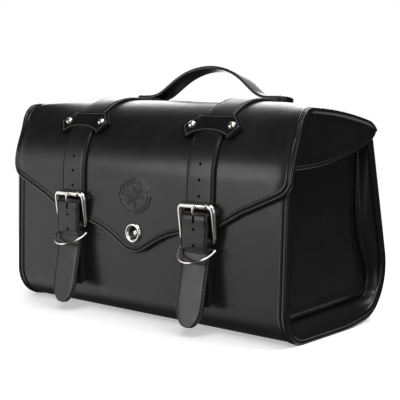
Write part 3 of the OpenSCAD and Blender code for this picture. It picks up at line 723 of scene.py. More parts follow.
def make_body_binding(name, side):
    """Bound edge of the body: a folded strip carried round the side outline.

    Its section is a flat stitched border on the outside, a roll over the edge, and a rim
    that faces sideways with a seam along it.
    """
    outline = resampled(body_outline(), 220)
    path = in_x(BODY_HALF, outline)
    normal = outline_normals(outline)
    outward = np.broadcast_to([1.0, 0, 0], path.shape)
    flip = np.array([side, 1, 1])
    roll = sweep(f"body_binding_{name}_roll", path * flip, outward * flip, normal * flip,
                 BINDING_EDGE, binding_leather)
    fitted(roll, "binding_leather", "body", f"body_binding_{name}")
    border_row = path + np.array([-BORDER_ROW_IN, 0, 0]) + BORDER_ROW_PROUD * normal
    rim_row = path + np.array([RIM_ROW_PROUD, 0, 0]) - RIM_ROW_IN * normal
    rows = [stitches("row", border_row * flip, normal * flip, black_thread),
            stitches("row", rim_row * flip, outward * flip, black_thread, pitch=3.6)]
    fitted(together(f"body_binding_{name}_thread", rows), "binding_leather", "body")


PANEL_X = 184.0
PANEL_T = 3.0
PANEL_FRONT = FRONT + 12.0
PANEL_TOP_Z = 188.0
PANEL_CORNER_R = 21.0
PANEL_CORNER_Z = 40.0
PANEL_REAR = FRONT + 160.5
PANEL_REAR_LOW_Z = 36.0
PANEL_LOW_CORNERS = ((PANEL_FRONT + 6.0, 25.0), (FRONT + 183.0, 26.0))
PANEL_MIDDLE = (PANEL_X, FRONT + 95.0, 110.0)
PANEL_SWING = 31.0      # how far the rear edge swings out at the bottom
PANEL_CROWN = 3.2
PANEL_SLOPE = 22.0      # how far in from its edge the crown is reached
PANEL_ROLL = 2.6        # the roll along the bottom
PANEL_SUNK = 1.0
PANEL_ROW_IN = 4.0
GUSSET_T = 2.5
RIM_FOLD = 7.5
RIM_DROP = 7.0
FOLD_DEPTH = 2.2
CREASE_DEPTH = 2.6
WELT_R = 1.25
WELT_PROUD = 0.6


def coons(bottom, top, left, right):
    """Surface between four edges: the two ruled surfaces added, less the corners' bilinear one."""
    u = np.linspace(0, 1, len(bottom))[:, None, None]
    v = np.linspace(0, 1, len(left))[None, :, None]
    ruled = (1 - v) * bottom[:, None] + v * top[:, None] + (1 - u) * left[None] + u * right[None]
    corners = ((1 - u) * (1 - v) * bottom[0] + u * (1 - v) * bottom[-1]
               + (1 - u) * v * top[0] + u * v * top[-1])
    return ruled - corners


def panel_outline():
    """Edge of the recessed end panel, from its front top round the bottom to its rear top.

    The rear edge swings out towards the bottom: a Gaussian of the height added to a line.
    """
    z = np.linspace(PANEL_REAR_LOW_Z, RIM_Z - 1, 60)
    rear = np.stack([PANEL_REAR + PANEL_SWING * np.exp(-((z - 44) / 46) ** 2), z], -1)
    corner = PANEL_FRONT + PANEL_CORNER_R
    heel = np.array([FRONT + 172, 23.5])
    return joined([(PANEL_FRONT, PANEL_TOP_Z), (PANEL_FRONT, PANEL_CORNER_Z)],
                  arc(corner, PANEL_CORNER_Z, PANEL_CORNER_R, 180, 270, 16),
                  [(corner, PANEL_CORNER_Z - PANEL_CORNER_R), heel],
                  bezier(heel, (FRONT + 183, 24), (rear[0, 0], 27), rear[0], 16),
                  rear)


def panel_rise(depth, z):
    """How far the end panel stands out at a distance from its edge and at a height."""
    low = smooth((62 - z) / 34)
    crown = PANEL_CROWN * smooth(depth / PANEL_SLOPE)
    return crown + PANEL_ROLL * low * np.exp(-((depth - 9) / 6.0) ** 2) - PANEL_SUNK


def make_gusset(name, flip, edge):
    """The gusset from the body's rim in to the panel's edge.

    It blends between the two outlines with a sine fold, which is deeper at the rear, and a
    crease there is a Gaussian of the way across.
    """
    count = len(edge)
    rim = in_x(BODY_HALF - 3.4, resampled(body_outline(RIM_FOLD), count))
    rim[0, 2] = edge[0, 2] - RIM_DROP
    t = np.linspace(0, 1, 22)[None, :, None]
    gusset = rim[:, None] * (1 - t) + edge[:, None] * t
    fold = np.sin(np.pi * t[..., 0]) * FOLD_DEPTH
    rear = smooth((np.arange(count) / count - 0.55) / 0.2)[:, None]
    gusset[..., 0] += fold * (0.4 + rear)
    gusset[..., 0] -= CREASE_DEPTH * rear * np.exp(-((t[..., 0] - 0.78) / 0.12) ** 2)
    under = gusset - np.array([GUSSET_T, 0, 0])
    skin = slab(f"gusset_{name}_skin", gusset * flip, under * flip, end_leather, edge=0)
    fitted(skin, "end_leather", "body", f"gusset_{name}")


def make_panel(name, flip, edge):
    """The crowned end panel: a Coons patch that rises by its distance from the edge."""
    low_front, low_rear = (np.argmin(np.hypot(edge[:, 1] - y, edge[:, 2] - z))
                           for y, z in PANEL_LOW_CORNERS)
    left = resampled(edge[:low_front + 1][::-1], 70)
    right = resampled(edge[low_rear:], 70)
    top = np.linspace(left[-1], right[-1], 60)
    panel = coons(resampled(edge[low_front:low_rear + 1], 60), top, left, right)
    depth = np.sqrt(((panel[:, :, None] - edge[None, None]) ** 2).sum(-1).min(-1))
    panel[..., 0] += panel_rise(depth, panel[..., 2])
    back = panel - np.array([PANEL_T, 0, 0])
    face = slab(f"end_panel_{name}_skin", panel * flip, back * flip, end_leather, edge=0)
    fitted(face, "end_leather", "body", f"end_panel_{name}")


def make_end(name, side):
    """One end: its gusset, the welt along the seam, the end panel and its two stitchings."""
    flip = np.array([side, 1, 1])
    count = 200
    edge = in_x(PANEL_X, resampled(panel_outline(), count))
    make_gusset(name, flip, edge)
    make_panel(name, flip, edge)

    welt_path = edge + np.array([WELT_PROUD, 0, 0])
    welt = tube(f"end_welt_{name}", welt_path * flip, WELT_R, binding_leather, sides=10, up=(1, 0, 0))
    fitted(welt, "binding_leather", "body")
    inner = edge + PANEL_ROW_IN * unit(np.array(PANEL_MIDDLE) - edge)
    inner[:, 0] += panel_rise(PANEL_ROW_IN, inner[:, 2]) + 0.15
    bottom = (edge[:, 2] < 30) & (np.arange(count) < count * 0.75)
    upright = np.arange(count) > np.nonzero(bottom)[0][-1]
    out = np.broadcast_to([1.0, 0, 0], (count, 3))
    rows = [stitches("row", inner[bottom] * flip, out[bottom] * flip, black_thread, pitch=2.9,
                     length=3.4, radius=0.62, slant=0.9, sink=0.0),
            stitches("row", inner[upright] * flip, out[upright] * flip, pale_thread, pitch=4.2,
                     length=2.6, radius=0.45)]
    fitted(together(f"end_panel_{name}_thread", rows), "end_leather", "body")


# ---- Lid ----

ROSETTE_Z = 139.6
ROSETTE_HALF = (25.5, 20.0)
ROSETTE_BORDER = 1.08   # the slab's half side over the rosette's
ROSETTE_RELIEF = 0.45
LOCK_HOLE_R = 8.0
REAR_CORNER_R = 12.0
BOARD_T = 2.0


def rosette(x, z):
    """Height of a plain tooled rosette: petals in an oval ring.

    With r the oval distance from its centre, it is two ripples near a scalloped rim at
    r = 0.9, eight petals and an eye inside, and a row of beads sunk between the ripples.
    """
    u, v = x / ROSETTE_HALF[0], (z - ROSETTE_Z) / ROSETTE_HALF[1]
    r = np.hypot(u, v)
    a = np.arctan2(v, u)
    rim = 0.86 + 0.07 * np.abs(np.cos(6 * a))

    def ripple(middle, width):
        """A Gaussian ridge of the oval distance."""
        return np.exp(-((r - middle) / width) ** 2)

    ring = ripple(rim, 0.05) + 0.8 * ripple(rim - 0.17, 0.04)
    petals = ripple(0.36 + 0.2 * np.cos(8 * a), 0.07)
    beads = ripple(rim - 0.075, 0.035) * (0.5 + 0.5 * np.cos(36 * a))
    return np.clip(ring + petals + ripple(0.1, 0.05), 0, 1) - 0.7 * beads


def flap_q(z):
    """q on the flap's edge at a height: a share of the straight front, or the shoulder's q."""
    straight = -1 + (z - FLAP_TIP_Z) / (STRAIGHT_Z - FLAP_TIP_Z)
    return np.where(z < STRAIGHT_Z, straight, q_at_height(z))


def make_lid():
    """The lid's one sheet of leather, flap and top, with its lower edge shaped."""
    x = across_lid()
    q_low = flap_q(flap_edge_z(x))
    turn = np.clip((np.abs(x) - LID_HALF + REAR_CORNER_R) / REAR_CORNER_R, 0, 1)
    q_high = LID_EDGE_Q + (3 - LID_EDGE_Q) * np.sqrt(1 - turn ** 2)
    q = q_low[:, None] + (q_high - q_low)[:, None] * np.linspace(0, 1, 150)[None]
    xs = np.broadcast_to(x[:, None], q.shape)
    outer = lid_surface(xs, q)
    inner = outer - LID_T * lid_normal(xs, q)
    shell = slab("lid_skin", outer, inner, shell_leather, edge=0)
    drilled(shell, bore((0, FLAP_Y - 5, LOCK_Z), (0, 1, 0), LOCK_HOLE_R, 14, shell_leather))
    fitted(shell, "shell_leather", "lid", "lid_shell")


def make_rosette():
    """The tooled rosette: a thin slab on the flap, raised by the rosette's height.

    It sinks under the flap's face at its border by a smoothstep.
    """
    side = np.linspace(-ROSETTE_BORDER, ROSETTE_BORDER, 130)
    us, vs = np.meshgrid(side, side, indexing="ij")
    x, z = us * ROSETTE_HALF[0], ROSETTE_Z + vs * ROSETTE_HALF[1]
    fade = smooth((ROSETTE_BORDER - np.maximum(np.abs(us), np.abs(vs))) / 0.12)
    lift = 0.04 - 0.4 * (1 - fade) + ROSETTE_RELIEF * fade * rosette(x, z)
    face = np.stack([x, FLAP_Y - lift, z], -1)
    behind = np.stack([x, np.full_like(x, FLAP_Y + 1.2), z], -1)
    fitted(slab("flap_rosette", face, behind, shell_leather, edge=0), "shell_leather", "lid")


def make_lid_board():
    """Stiffening board under the lid's crown, a sheet that follows the lid at a small gap."""
    low, high = box_mm("lid_board")
    x = np.linspace(low[0] + 2, high[0] - 2, 60)
    xs, qs = np.meshgrid(x, np.linspace(1.15, 1.9, 30), indexing="ij")
    top = lid_surface(xs, qs) - (LID_T + 0.3) * lid_normal(xs, qs)
    sheet = slab("lid_board_sheet", top, top - BOARD_T * lid_normal(xs, qs), fibreboard, edge=0)
    fitted(sheet, "stiffener", "lid", "lid_board")


LID_BINDING = [(-6.4, -0.6), (-6.4, 0.35), (-5.7, 0.8), (-3.4, 0.8), (-2.8, 0.35), (-2.1, 1.0),
               (-0.9, 1.6), (0.5, 1.5), (1.6, 0.6), (1.9, -1.0), (1.7, -3.0), (0.8, -4.3),
               (-0.6, -4.8), (-5.6, -4.7), (-6.4, -4.0)]
LID_ROW_IN, LID_ROW_PROUD = 4.5, 0.9
EDGE_STEPS = 150        # points up one end of the lid
BINDING_STEPS = 520     # points round the whole edge


def lid_edge():
    """The lid's edge from the rear right corner, forward, round the flap and back on the left.

    Returns the points and the surface normals there.
    """
    up = np.linspace(LID_EDGE_Q, float(q_at_height(CORNER_C_Z)), EDGE_STEPS)[:-1]
    x = across_lid(150, 26)[::-1]
    xs = np.concatenate([np.full(len(up), LID_HALF), x, np.full(len(up), -LID_HALF)])
    qs = np.concatenate([up, flap_q(flap_edge_z(x)), up[::-1]])
    return lid_surface(xs, qs), lid_normal(xs, qs)


def make_lid_binding():
    """Bound edge of the lid in three lengths: two ends and the flap's lower edge."""
    path, normal = lid_edge()
    s = length_along(path)
    corner = s[EDGE_STEPS - 1] / s[-1]
    even = np.linspace(0, s[-1], BINDING_STEPS)
    path, normal = (np.stack([np.interp(even, s, a[:, k]) for k in range(3)], -1)
                    for a in (path, normal))
    normal = unit(normal)
    outward = unit(np.cross(normal, tangents(path)))
    if outward[0, 0] < 0:
        outward = -outward
    last = BINDING_STEPS - 1
    start, stop = int(corner * last), last - int(corner * last)
    spans = {"lid_binding_right": (0, start + 1), "flap_binding": (start, stop + 1),
             "lid_binding_left": (stop, BINDING_STEPS)}
    seam = path - LID_ROW_IN * outward + LID_ROW_PROUD * normal
    for node, (i, j) in spans.items():
        roll = sweep(f"{node}_roll", path[i:j], outward[i:j], normal[i:j], LID_BINDING, binding_leather)
        fitted(roll, "binding_leather", "lid", node)
        row = stitches(f"{node}_thread", seam[i:j], normal[i:j], black_thread, pitch=3.9, length=2.7,
                       radius=0.58)
        fitted(row, "binding_leather", "lid")


CAP_BINDING = [(-6.2, -2.4), (-6.2, 0.6), (-5.6, 1.0), (-2.6, 1.0), (-2.0, 0.7), (-1.2, 1.2),
               (0.4, 1.4), (1.4, 0.6), (1.6, -1.2), (0.6, -2.6)]
CAP_ROW_IN, CAP_ROW_PROUD = 4.3, 1.05
CAP_FRONT_Z = 180.2
CAP_START, CAP_LENGTH = 0.5, 163.0
CAP_HOLLOW = 1.6
CAP_T = 2.0
HINGE_T = 1.6


def cap_low_z(y):
    """Height of an end cap's lower edge at a distance y behind the front: a parabola that
    turns up at the rear by a squared smoothstep."""
    return CAP_FRONT_Z + 0.00112 * y ** 2 + 5.0 * smooth((y - 146) / 22) ** 2


def make_end_cap(name, side):
    """Side piece of the lid, from the lid's outline down to a round, bound lower edge.

    It is ruled between the two edges and hollowed by a sine towards the rear.
    """
    flip = np.array([side, 1, 1])
    n = 110
    a = np.linspace(0, 1, n)
    y_low = CAP_START + CAP_LENGTH * a
    low = np.stack([np.full(n, LID_HALF - 0.4), FRONT + y_low, cap_low_z(y_low)], -1)
    q_first = float(q_at_height(cap_low_z(CAP_START) + 0.5))
    q = q_first + (LID_EDGE_Q + 0.02 - q_first) * a
    xq = np.full(n, LID_HALF - 0.01)
    high = lid_surface(xq, q) - (LID_T + 0.4) * lid_normal(xq, q)
    high[:, 0] = LID_HALF - 1.2
    t = np.linspace(0, 1, 30)[None, :, None]
    grid = low[:, None] * (1 - t) + high[:, None] * t
    grid[..., 0] -= CAP_HOLLOW * np.sin(np.pi * t[..., 0]) * smooth((a - 0.35) / 0.5)[:, None]
    inner = grid - np.array([CAP_T, 0, 0])
    cap = slab(f"end_cap_{name}_skin", grid * flip, inner * flip, end_leather, edge=0)
    fitted(cap, "end_leather", "lid", f"end_cap_{name}")

    path = resampled(low, 120)
    out = np.broadcast_to([1.0, 0, 0], path.shape)
    down = unit(np.cross(out, tangents(path)))
    down = down * np.sign(-down[:, 2:3])
    roll = sweep(f"cap_binding_{name}_roll", path * flip, down * flip, out * flip, CAP_BINDING,
                 binding_leather)
    fitted(roll, "binding_leather", "lid", f"cap_binding_{name}")
    seam = path - CAP_ROW_IN * down + CAP_ROW_PROUD * out
    row = stitches(f"cap_binding_{name}_thread", seam * flip, out * flip, black_thread)
    fitted(row, "binding_leather", "lid")


def make_hinge():
    """Leather hinge: a strip that runs up the back panel and over the lid's rear bend."""
    q = np.linspace(2.35, 3.0, 16)[::-1]
    x = np.linspace(-BODY_HALF + SEAM_INSET, BODY_HALF - SEAM_INSET, 50)
    lid_part = lid_surface(np.zeros(16), q)[:, 1:] + 1.1 * lid_normal(np.zeros(16), q)[:, 1:]
    back_part = np.stack(back_frame(np.linspace(100, 134, 8), REAR_BEND + HINGE_T), -1)
    strip = resampled(joined(back_part, lid_part[:3]), 40)
    normal = outline_normals(strip)
    middle = extruded(x, strip)
    half = HINGE_T / 2
    hinge = slab("hinge_leather", middle + half * normal[None], middle - half * normal[None],
                 binding_leather, edge=0)
    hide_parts("hinge_strip")
    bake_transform(hinge)


# ---- Straps ----

STRAP_GAP = 0.3
STRAP_TIP = 27.0        # length of the rounded tip
GROOVE_AT = 0.87        # the stitch groove, as a share of a strap's half width
PUNCH_R = 1.7
PUNCH_Z = (180.5, 163.5, 146.5, 112.5, 95.5, 78.5)
TONGUE_SLOT_Z = (119.0, 129.5)
BULGE_TOP_Z, BULGE_IN = 134.5, 8.0
TUCK_TOP_Z, TUCK_IN = 98.5, 11.5
TUCK_LOW_Z = TUCK_TOP_Z - TUCK_IN


def strap_edge_section(half, thickness):
    """Section of a strap (a, b): flat, crowned a little, with a stitch groove by each edge."""
    a = np.array([0, 0.06, 0.12, 0.2, 0.4, 0.6, 0.78, 0.84, 0.87, 0.9, 0.95, 0.985, 1])
    top = np.array([0.52, 0.52, 0.52, 0.518, 0.514, 0.505, 0.49, 0.44, 0.33, 0.44, 0.42, 0.25,
                    -0.15])
    a, top = np.concatenate([-a[:0:-1], a]), np.concatenate([top[:0:-1], top])
    upper = np.stack([a * half, top * thickness], -1)
    lower = np.array([(0.985, -0.42), (0.9, -0.5), (-0.9, -0.5), (-0.985, -0.42)]) * [half, thickness]
    return np.concatenate([upper, lower])


def billet_line():
    """Side line (y, z) of the hanging strap from the shoulder down to its tip.

    It hangs flat, stands out over the buckle's bars and tucks in below them by smoothsteps of
    the height, then slants out to the tip. A Gaussian puffs it out a little over the heel.
    """
    flat = SHOULDER_Y - SHOULDER_R - STRAP_GAP - STRAP_T / 2
    bulge = FRONT - 15.5
    tuck = FRONT - 11.4
    tip = tuck - 13.0
    z = np.concatenate([np.linspace(SHOULDER_C, 135, 30), np.linspace(BULGE_TOP_Z, 86, 110),
                        np.linspace(85, TIP_Z, 60)])
    out = flat + (bulge - flat) * smooth((BULGE_TOP_Z - z) / BULGE_IN)
    back = bulge + (tuck - bulge) * smooth((TUCK_TOP_Z - z) / TUCK_IN)
    slant = tuck + (tip - tuck) * (TUCK_LOW_Z - z) / (TUCK_LOW_Z - TIP_Z)
    y = np.select([z > BULGE_TOP_Z, z > BULGE_TOP_Z - BULGE_IN, z > TUCK_TOP_Z, z > TUCK_LOW_Z],
                  [np.full_like(z, flat), out, np.full_like(z, bulge), back], slant)
    puff = 0.9 * np.exp(-((z - 122.5) / 4.0) ** 2)
    return np.stack([y - puff, z], -1)


def bends_with_strap(obj):
    """Bakes a piece's transform into its mesh."""
    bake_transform(obj)


def make_strap(name, side):
    """One strap from under the handle over the lid, through the buckle to its tip.

    The section is carried along the path; over the last millimetres its width closes to the
    tip as a power of the circle root of the distance left.
    """
    sx = side * STRAP_X
    q = np.linspace(1.52, 0.0, 110)
    zero = np.zeros(110)
    rise = STRAP_GAP + STRAP_T / 2
    top = lid_surface(zero, q)[:, 1:] + rise * lid_normal(zero, q)[:, 1:]
    path = in_x(sx, resampled(joined(top, billet_line()), 420))
    across = np.broadcast_to([1.0, 0, 0], path.shape)
    up = unit(np.cross(tangents(path), across))
    s = length_along(path)
    left = np.clip((s[-1] - s) / STRAP_TIP, 0, 1)
    width = np.sqrt(np.clip(left * (2 - left), 0, 1)) ** 0.9
    pinch = 1 - 0.05 * np.exp(-((path[:, 2] - 126) / 9) ** 2)
    pinch *= 1 - 0.04 * np.exp(-((path[:, 2] - 103) / 8) ** 2)
    section = strap_edge_section(STRAP_W / 2, STRAP_T)
    sections = section[None] * np.stack([width * pinch, np.ones_like(width)], -1)[:, None]
    sections[-1] *= [0.02, 0.6]
    strap = sweep(f"strap_{name}_leather", path, across, up, sections, strap_leather)
    holes = [bore((sx, FRONT - 30, z), (0, 1, 0), PUNCH_R, 28, edge_leather) for z in PUNCH_Z]
    slot_x, slot_z = np.meshgrid([sx - 1.5, sx + 1.5], TONGUE_SLOT_Z, indexing="ij")
    near, far = (np.stack([slot_x, np.full((2, 2), FRONT + y), slot_z], -1) for y in (-24.0, -3.0))
    holes.append(slab("slot", near, far, edge_leather, edge=0))
    drilled(strap, together("holes", holes))
    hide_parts(f"billet_{name}", f"strap_upper_{name}")
    bends_with_strap(strap)
    rows = []
    shown = slice(6, 408)
    for e in (-1, 1):
        edge = (path + e * (STRAP_W / 2 * GROOVE_AT) * (width * pinch)[:, None] * across
                + 0.46 * STRAP_T * up)
        rows.append(stitches("row", edge[shown], up[shown], black_thread, pitch=3.6, length=2.5,
                             radius=0.55, sink=0.05))
    row = together(f"strap_{name}_thread", rows)
    bends_with_strap(row)


KEEPER_HALF = 40.0
KEEPER_LOW_A = 28.7
KEEPER_HIGH_A = 49.5
KEEPER_R = SHOULDER_R + STRAP_GAP + STRAP_T + 0.2
KEEPER_T = 2.4
KEEPER_STEP = 1.3       # how far the wings lie below the middle
KEEPER_TOP_SLANT, KEEPER_LOW_SLANT = 13.0, 11.0
KEEPER_DIP = 1.2
KEEPER_ARCH_R, KEEPER_ARCH_C = 64.0, 56.0
KEEPER_ROW_IN = 2.6
KEEPER_RIVET_X, KEEPER_RIVET_A = 26.5, 40.0


def keeper_edges(x, inset=0.0):
    """Lower and upper edge of a keeper, in arc length up the shoulder from its lowest corner.

    Straight slants run from each side point to the corners; the lower edge is an arch and
    the upper edge a shallow dip between them.
    """
    tall = math.radians(KEEPER_HIGH_A - KEEPER_LOW_A) * KEEPER_R
    a = np.abs(x)
    half = KEEPER_HALF - inset
    top_corner, low_corner = half - KEEPER_TOP_SLANT, half - KEEPER_LOW_SLANT
    dip = tall - KEEPER_DIP * np.cos(a / top_corner * np.pi / 2)
    upper = np.where(a < top_corner, dip, tall / 2 + (half - a) / KEEPER_TOP_SLANT * tall / 2)
    slant = tall / 2 * (1 - (half - a) / KEEPER_LOW_SLANT)
    arch = np.sqrt(np.maximum(KEEPER_ARCH_R ** 2 - a ** 2, 0)) - KEEPER_ARCH_C
    lower = np.where(a < low_corner, np.maximum(arch, 0), slant)
    return lower + inset * 0.9, upper - inset * 0.9


def on_shoulder(x, rise, radius):
    """Points on the lid's shoulder at an arc length up it and a radius about its centre."""
    a = math.radians(KEEPER_LOW_A) + rise / KEEPER_R
    return np.stack([np.broadcast_to(x, a.shape), SHOULDER_Y - radius * np.cos(a),
                     SHOULDER_C + radius * np.sin(a)], -1)


def keeper_grid(sx, x, inset, radius):
    """Points of a keeper's sheet on the lid's shoulder, at a radius for each x."""
    lower, upper = keeper_edges(x, inset)
    v = np.linspace(0, 1, 16)
    rise = lower[:, None] + np.maximum(upper - lower, 0.05)[:, None] * v[None]
    return on_shoulder(sx + x[:, None], rise, np.broadcast_to(radius, x.shape)[:, None])


def keeper_top(x):
    """Radius of a keeper's outer face: it steps down beside the strap by a smoothstep."""
    return KEEPER_R + KEEPER_T + 0.5 - KEEPER_STEP * smooth((np.abs(x) - 17) / 9)


def make_keeper(name, side):
    """Bow-tie keeper over the strap, its filler, its line of thread and two domed rivets."""
    sx = side * STRAP_X
    x = KEEPER_HALF * np.sin(np.linspace(-np.pi / 2, np.pi / 2, 80))
    sheet = slab(f"keeper_{name}_sheet", keeper_grid(sx, x, 0, keeper_top(x)),
                 keeper_grid(sx, x, 0, keeper_top(x) - KEEPER_T - 0.2), keeper_leather, edge=0.7)
    fitted(sheet, "strap_leather", "lid", f"keeper_{name}")
    fillers = []
    for e in (-1, 1):
        xf = e * np.linspace(STRAP_W / 2 + 0.8, KEEPER_HALF - 1.2, 24)
        fillers.append(slab("filler", keeper_grid(sx, xf, 1.0, keeper_top(xf) - KEEPER_T - 0.35),
                            keeper_grid(sx, xf, 1.0, SHOULDER_R + 0.1), edge_leather, edge=0))
    filler = together(f"keeper_filler_{name}_leather", fillers)
    fitted(filler, "strap_leather", "lid", f"keeper_filler_{name}")

    xr = (KEEPER_HALF - 1.5 * KEEPER_ROW_IN) * np.sin(np.linspace(-np.pi / 2, np.pi / 2, 90))
    lower, upper = keeper_edges(xr, KEEPER_ROW_IN)
    loop_x = np.concatenate([xr, xr[::-1]])
    rise = np.concatenate([lower, upper[::-1]])
    loop = joined(on_shoulder(sx + loop_x, rise, keeper_top(loop_x) + 0.12))
    a = math.radians(KEEPER_LOW_A) + rise / KEEPER_R
    up = np.stack([np.zeros_like(a), -np.cos(a), np.sin(a)], -1)
    row = stitches(f"keeper_{name}_thread", loop, resampled(up, len(loop)), grey_thread, pitch=2.9,
                   length=2.1, radius=0.34)
    fitted(row, "strap_leather", "lid")

    a = math.radians(KEEPER_RIVET_A)
    up = np.array([0, -math.cos(a), math.sin(a)])
    rise = (keeper_top(np.array(KEEPER_RIVET_X)) - 0.2) * up
    seats = [np.array([sx + e * KEEPER_RIVET_X, SHOULDER_Y, SHOULDER_C]) + rise for e in (-1, 1)]
    outline = [(0, -0.6), (3.4, -0.6), (4.0, 0.0), (4.1, 0.4)] + dome_outline(3.9, 2.4, 0.55, 10)
    domes = [lathe("dome", seat, up, outline, polished_nickel, turns=32) for seat in seats]
    dome = together(f"keeper_rivets_{name}_domes", domes)
    fitted(dome, "nickel", "lid", f"keeper_rivets_{name}")


HEEL_Y, HEEL_Z = FRONT - 8.5, 100.5
RING_Y, RING_Z = FRONT - 8.0, 92.0


def make_chape(name, side):
    """Leather fold behind the strap that holds the heel bar and the ring.

    Its side outline runs round the heel bar, down the back, under and up the front.
    """
    low, high = box_mm(f"chape_{name}")
    half = (high[0] - low[0]) / 2
    outline = joined(arc(HEEL_Y, HEEL_Z, 5.0, 180, 0, 18),
                     [(FRONT - 0.7, 96), (FRONT - 0.7, 63), (FRONT - 1.6, 61.5), (FRONT - 6.0, 61)],
                     [(FRONT - 6.2, 32), (FRONT - 9.2, 31), (FRONT - 9.5, 84)],
                     arc(RING_Y, RING_Z, 3.1, 250, 180, 8))
    grid = extruded(side * STRAP_X + np.linspace(-half, half, 14), outline)
    faces = tube_faces(14, len(outline))
    fold = rounded(piece(f"chape_{name}_fold", grid.reshape(-1, 3), faces, strap_leather), 0.5)
    fitted(fold, "strap_leather", f"strap_{name}", f"chape_{name}")


# ---- Metalwork ----

TOP_BAR_Z = 137.0
TOP_BAR_R = 2.35
HEEL_WIRE_R = 2.2
LEG_SWELL = 1.0
ROLLER_BORE_R = 2.46
TONGUE_R, TONGUE_TAPER = 1.75, 0.5
TONGUE_EYE = [(2.07, -1.6), (3.1, -1.6), (3.4, -1.2), (3.4, 1.2), (3.1, 1.6), (2.07, 1.6)]
RING_R = 23.0
RING_WIRE_R = 1.6
RING_DROOP = 35.0
EYELET_BORE_R = 7.2


def make_buckle(name, side):
    """Buckle: its frame, the roller on its top bar and the tongue on its heel bar."""
    sx = side * STRAP_X
    heel = np.array([sx, HEEL_Y, HEEL_Z])
    bar = np.array([sx, (roller_low[1] + roller_high[1]) / 2, TOP_BAR_Z])
    make_buckle_frame(name, heel, bar)
    roller_r = (roller_high[2] - roller_low[2]) / 2
    make_roller(name, bar, roller_r)
    make_tongue(name, heel, bar[1] - roller_r)


def make_buckle_frame(name, heel, bar):
    """Buckle frame: a closed loop of wire that thins towards its heel, in a leaning plane.

    The loop is a rectangle with quarter-circle corners; its radius runs from the heel to the
    legs' top by a smoothstep of the height, and the top bar is thin where the roller sits.
    """
    up = unit(bar - heel)
    tall = np.linalg.norm(bar - heel)
    half = STRAP_W / 2 + 3.6
    top_r, heel_r = 5.5, 3.0
    corners = [arc(cx, cz, r, a, a + 90, 9) for cx, cz, r, a in (
        (half - top_r, tall - top_r, top_r, 0), (-half + top_r, tall - top_r, top_r, 90),
        (-half + heel_r, heel_r, heel_r, 180), (half - heel_r, heel_r, heel_r, 270))]
    flat = resampled(np.concatenate(corners + [corners[0][:1]]), 181)[:-1]
    path = heel + flat[:, :1] * ALONG_X + flat[:, 1:] * up
    radius = HEEL_WIRE_R + LEG_SWELL * smooth(flat[:, 1] / tall)
    under_roller = (flat[:, 1] > tall - 0.4) & (np.abs(flat[:, 0]) < half - top_r)
    radius = np.where(under_roller, TOP_BAR_R, radius)
    loop = tube(f"buckle_{name}_loop", path, radius, polished_nickel, closed=True, sides=24, flat=0.92,
                up=unit(np.cross(ALONG_X, up)))
    fitted(loop, "nickel", f"buckle_{name}", f"buckle_frame_{name}")


def make_roller(name, bar, r):
    """Roller: a tube on the buckle's top bar with rounded ends."""
    low, high = box_mm(f"buckle_roller_{name}")
    half = (roller_high[0] - roller_low[0]) / 2
    right = [(r, half - 0.6), (r - 0.12, half - 0.15), (r - 0.5, half), (ROLLER_BORE_R, half)]
    left = [(radius, -h) for radius, h in right[::-1]]
    roller = lathe(f"roller_{name}_tube", ((low[0] + high[0]) / 2, bar[1], bar[2]), (1, 0, 0),
                   left + right, polished_nickel)
    fitted(roller, "nickel", f"roller_{name}", f"buckle_roller_{name}")


def make_tongue(name, heel, front_y):
    """Tongue: a tapering wire with a round end, from an eye on the heel bar up through the
    strap and bent over the roller's front."""
    sx = heel[0]
    low = np.array([sx, front_y - 1.3, 130.0])
    claw = bezier(heel + [0, -1.2, 2.8], [sx, heel[1] - 1.4, 112], [sx, heel[1] - 1.6, 121], low, 20)
    hook = bezier(low, low + [0, -0.9, 1.8], [sx, front_y - 2.5, 135], [sx, front_y - 0.9, 138.4], 14)
    claw = joined(claw, hook)
    s = length_along(claw) / length_along(claw)[-1]
    radius = TONGUE_R - TONGUE_TAPER * s
    radius *= np.sqrt(np.clip(1 - ((s - 0.94) / 0.06).clip(0, 0.96) ** 2, 0, 1))
    pin = tube(f"prong_{name}_pin", claw, radius, polished_nickel, sides=16, up=(1, 0, 0))
    eye = lathe("eye", heel, (1, 0, 0), TONGUE_EYE, polished_nickel, turns=32)
    tongue = together(f"prong_{name}_claw", [pin, eye])
    fitted(tongue, "nickel", f"buckle_{name}", f"buckle_prong_{name}")


def make_ring(name, side):
    """Half-round wire ring on its bar: a half circle and a straight, in a drooping plane."""
    droop = math.radians(RING_DROOP)
    bow = arc(0, 0, RING_R, 180, 360, 60)
    bar = np.stack([np.linspace(RING_R - 1.2, -RING_R + 1.2, 30), np.full(30, 0.0)], -1)
    flat = resampled(np.concatenate([bow, bar, bow[:1]]), 151)[:-1]
    out = np.array([0, math.cos(droop), math.sin(droop)])
    path = np.array([side * STRAP_X, RING_Y, RING_Z]) + flat[:, :1] * ALONG_X + flat[:, 1:] * out
    up = unit(np.cross(ALONG_X, out))
    ring = tube(f"ring_{name}_wire", path, RING_WIRE_R, polished_nickel, closed=True, sides=18, up=up)
    fitted(ring, "nickel", f"ring_{name}", f"strap_ring_{name}")


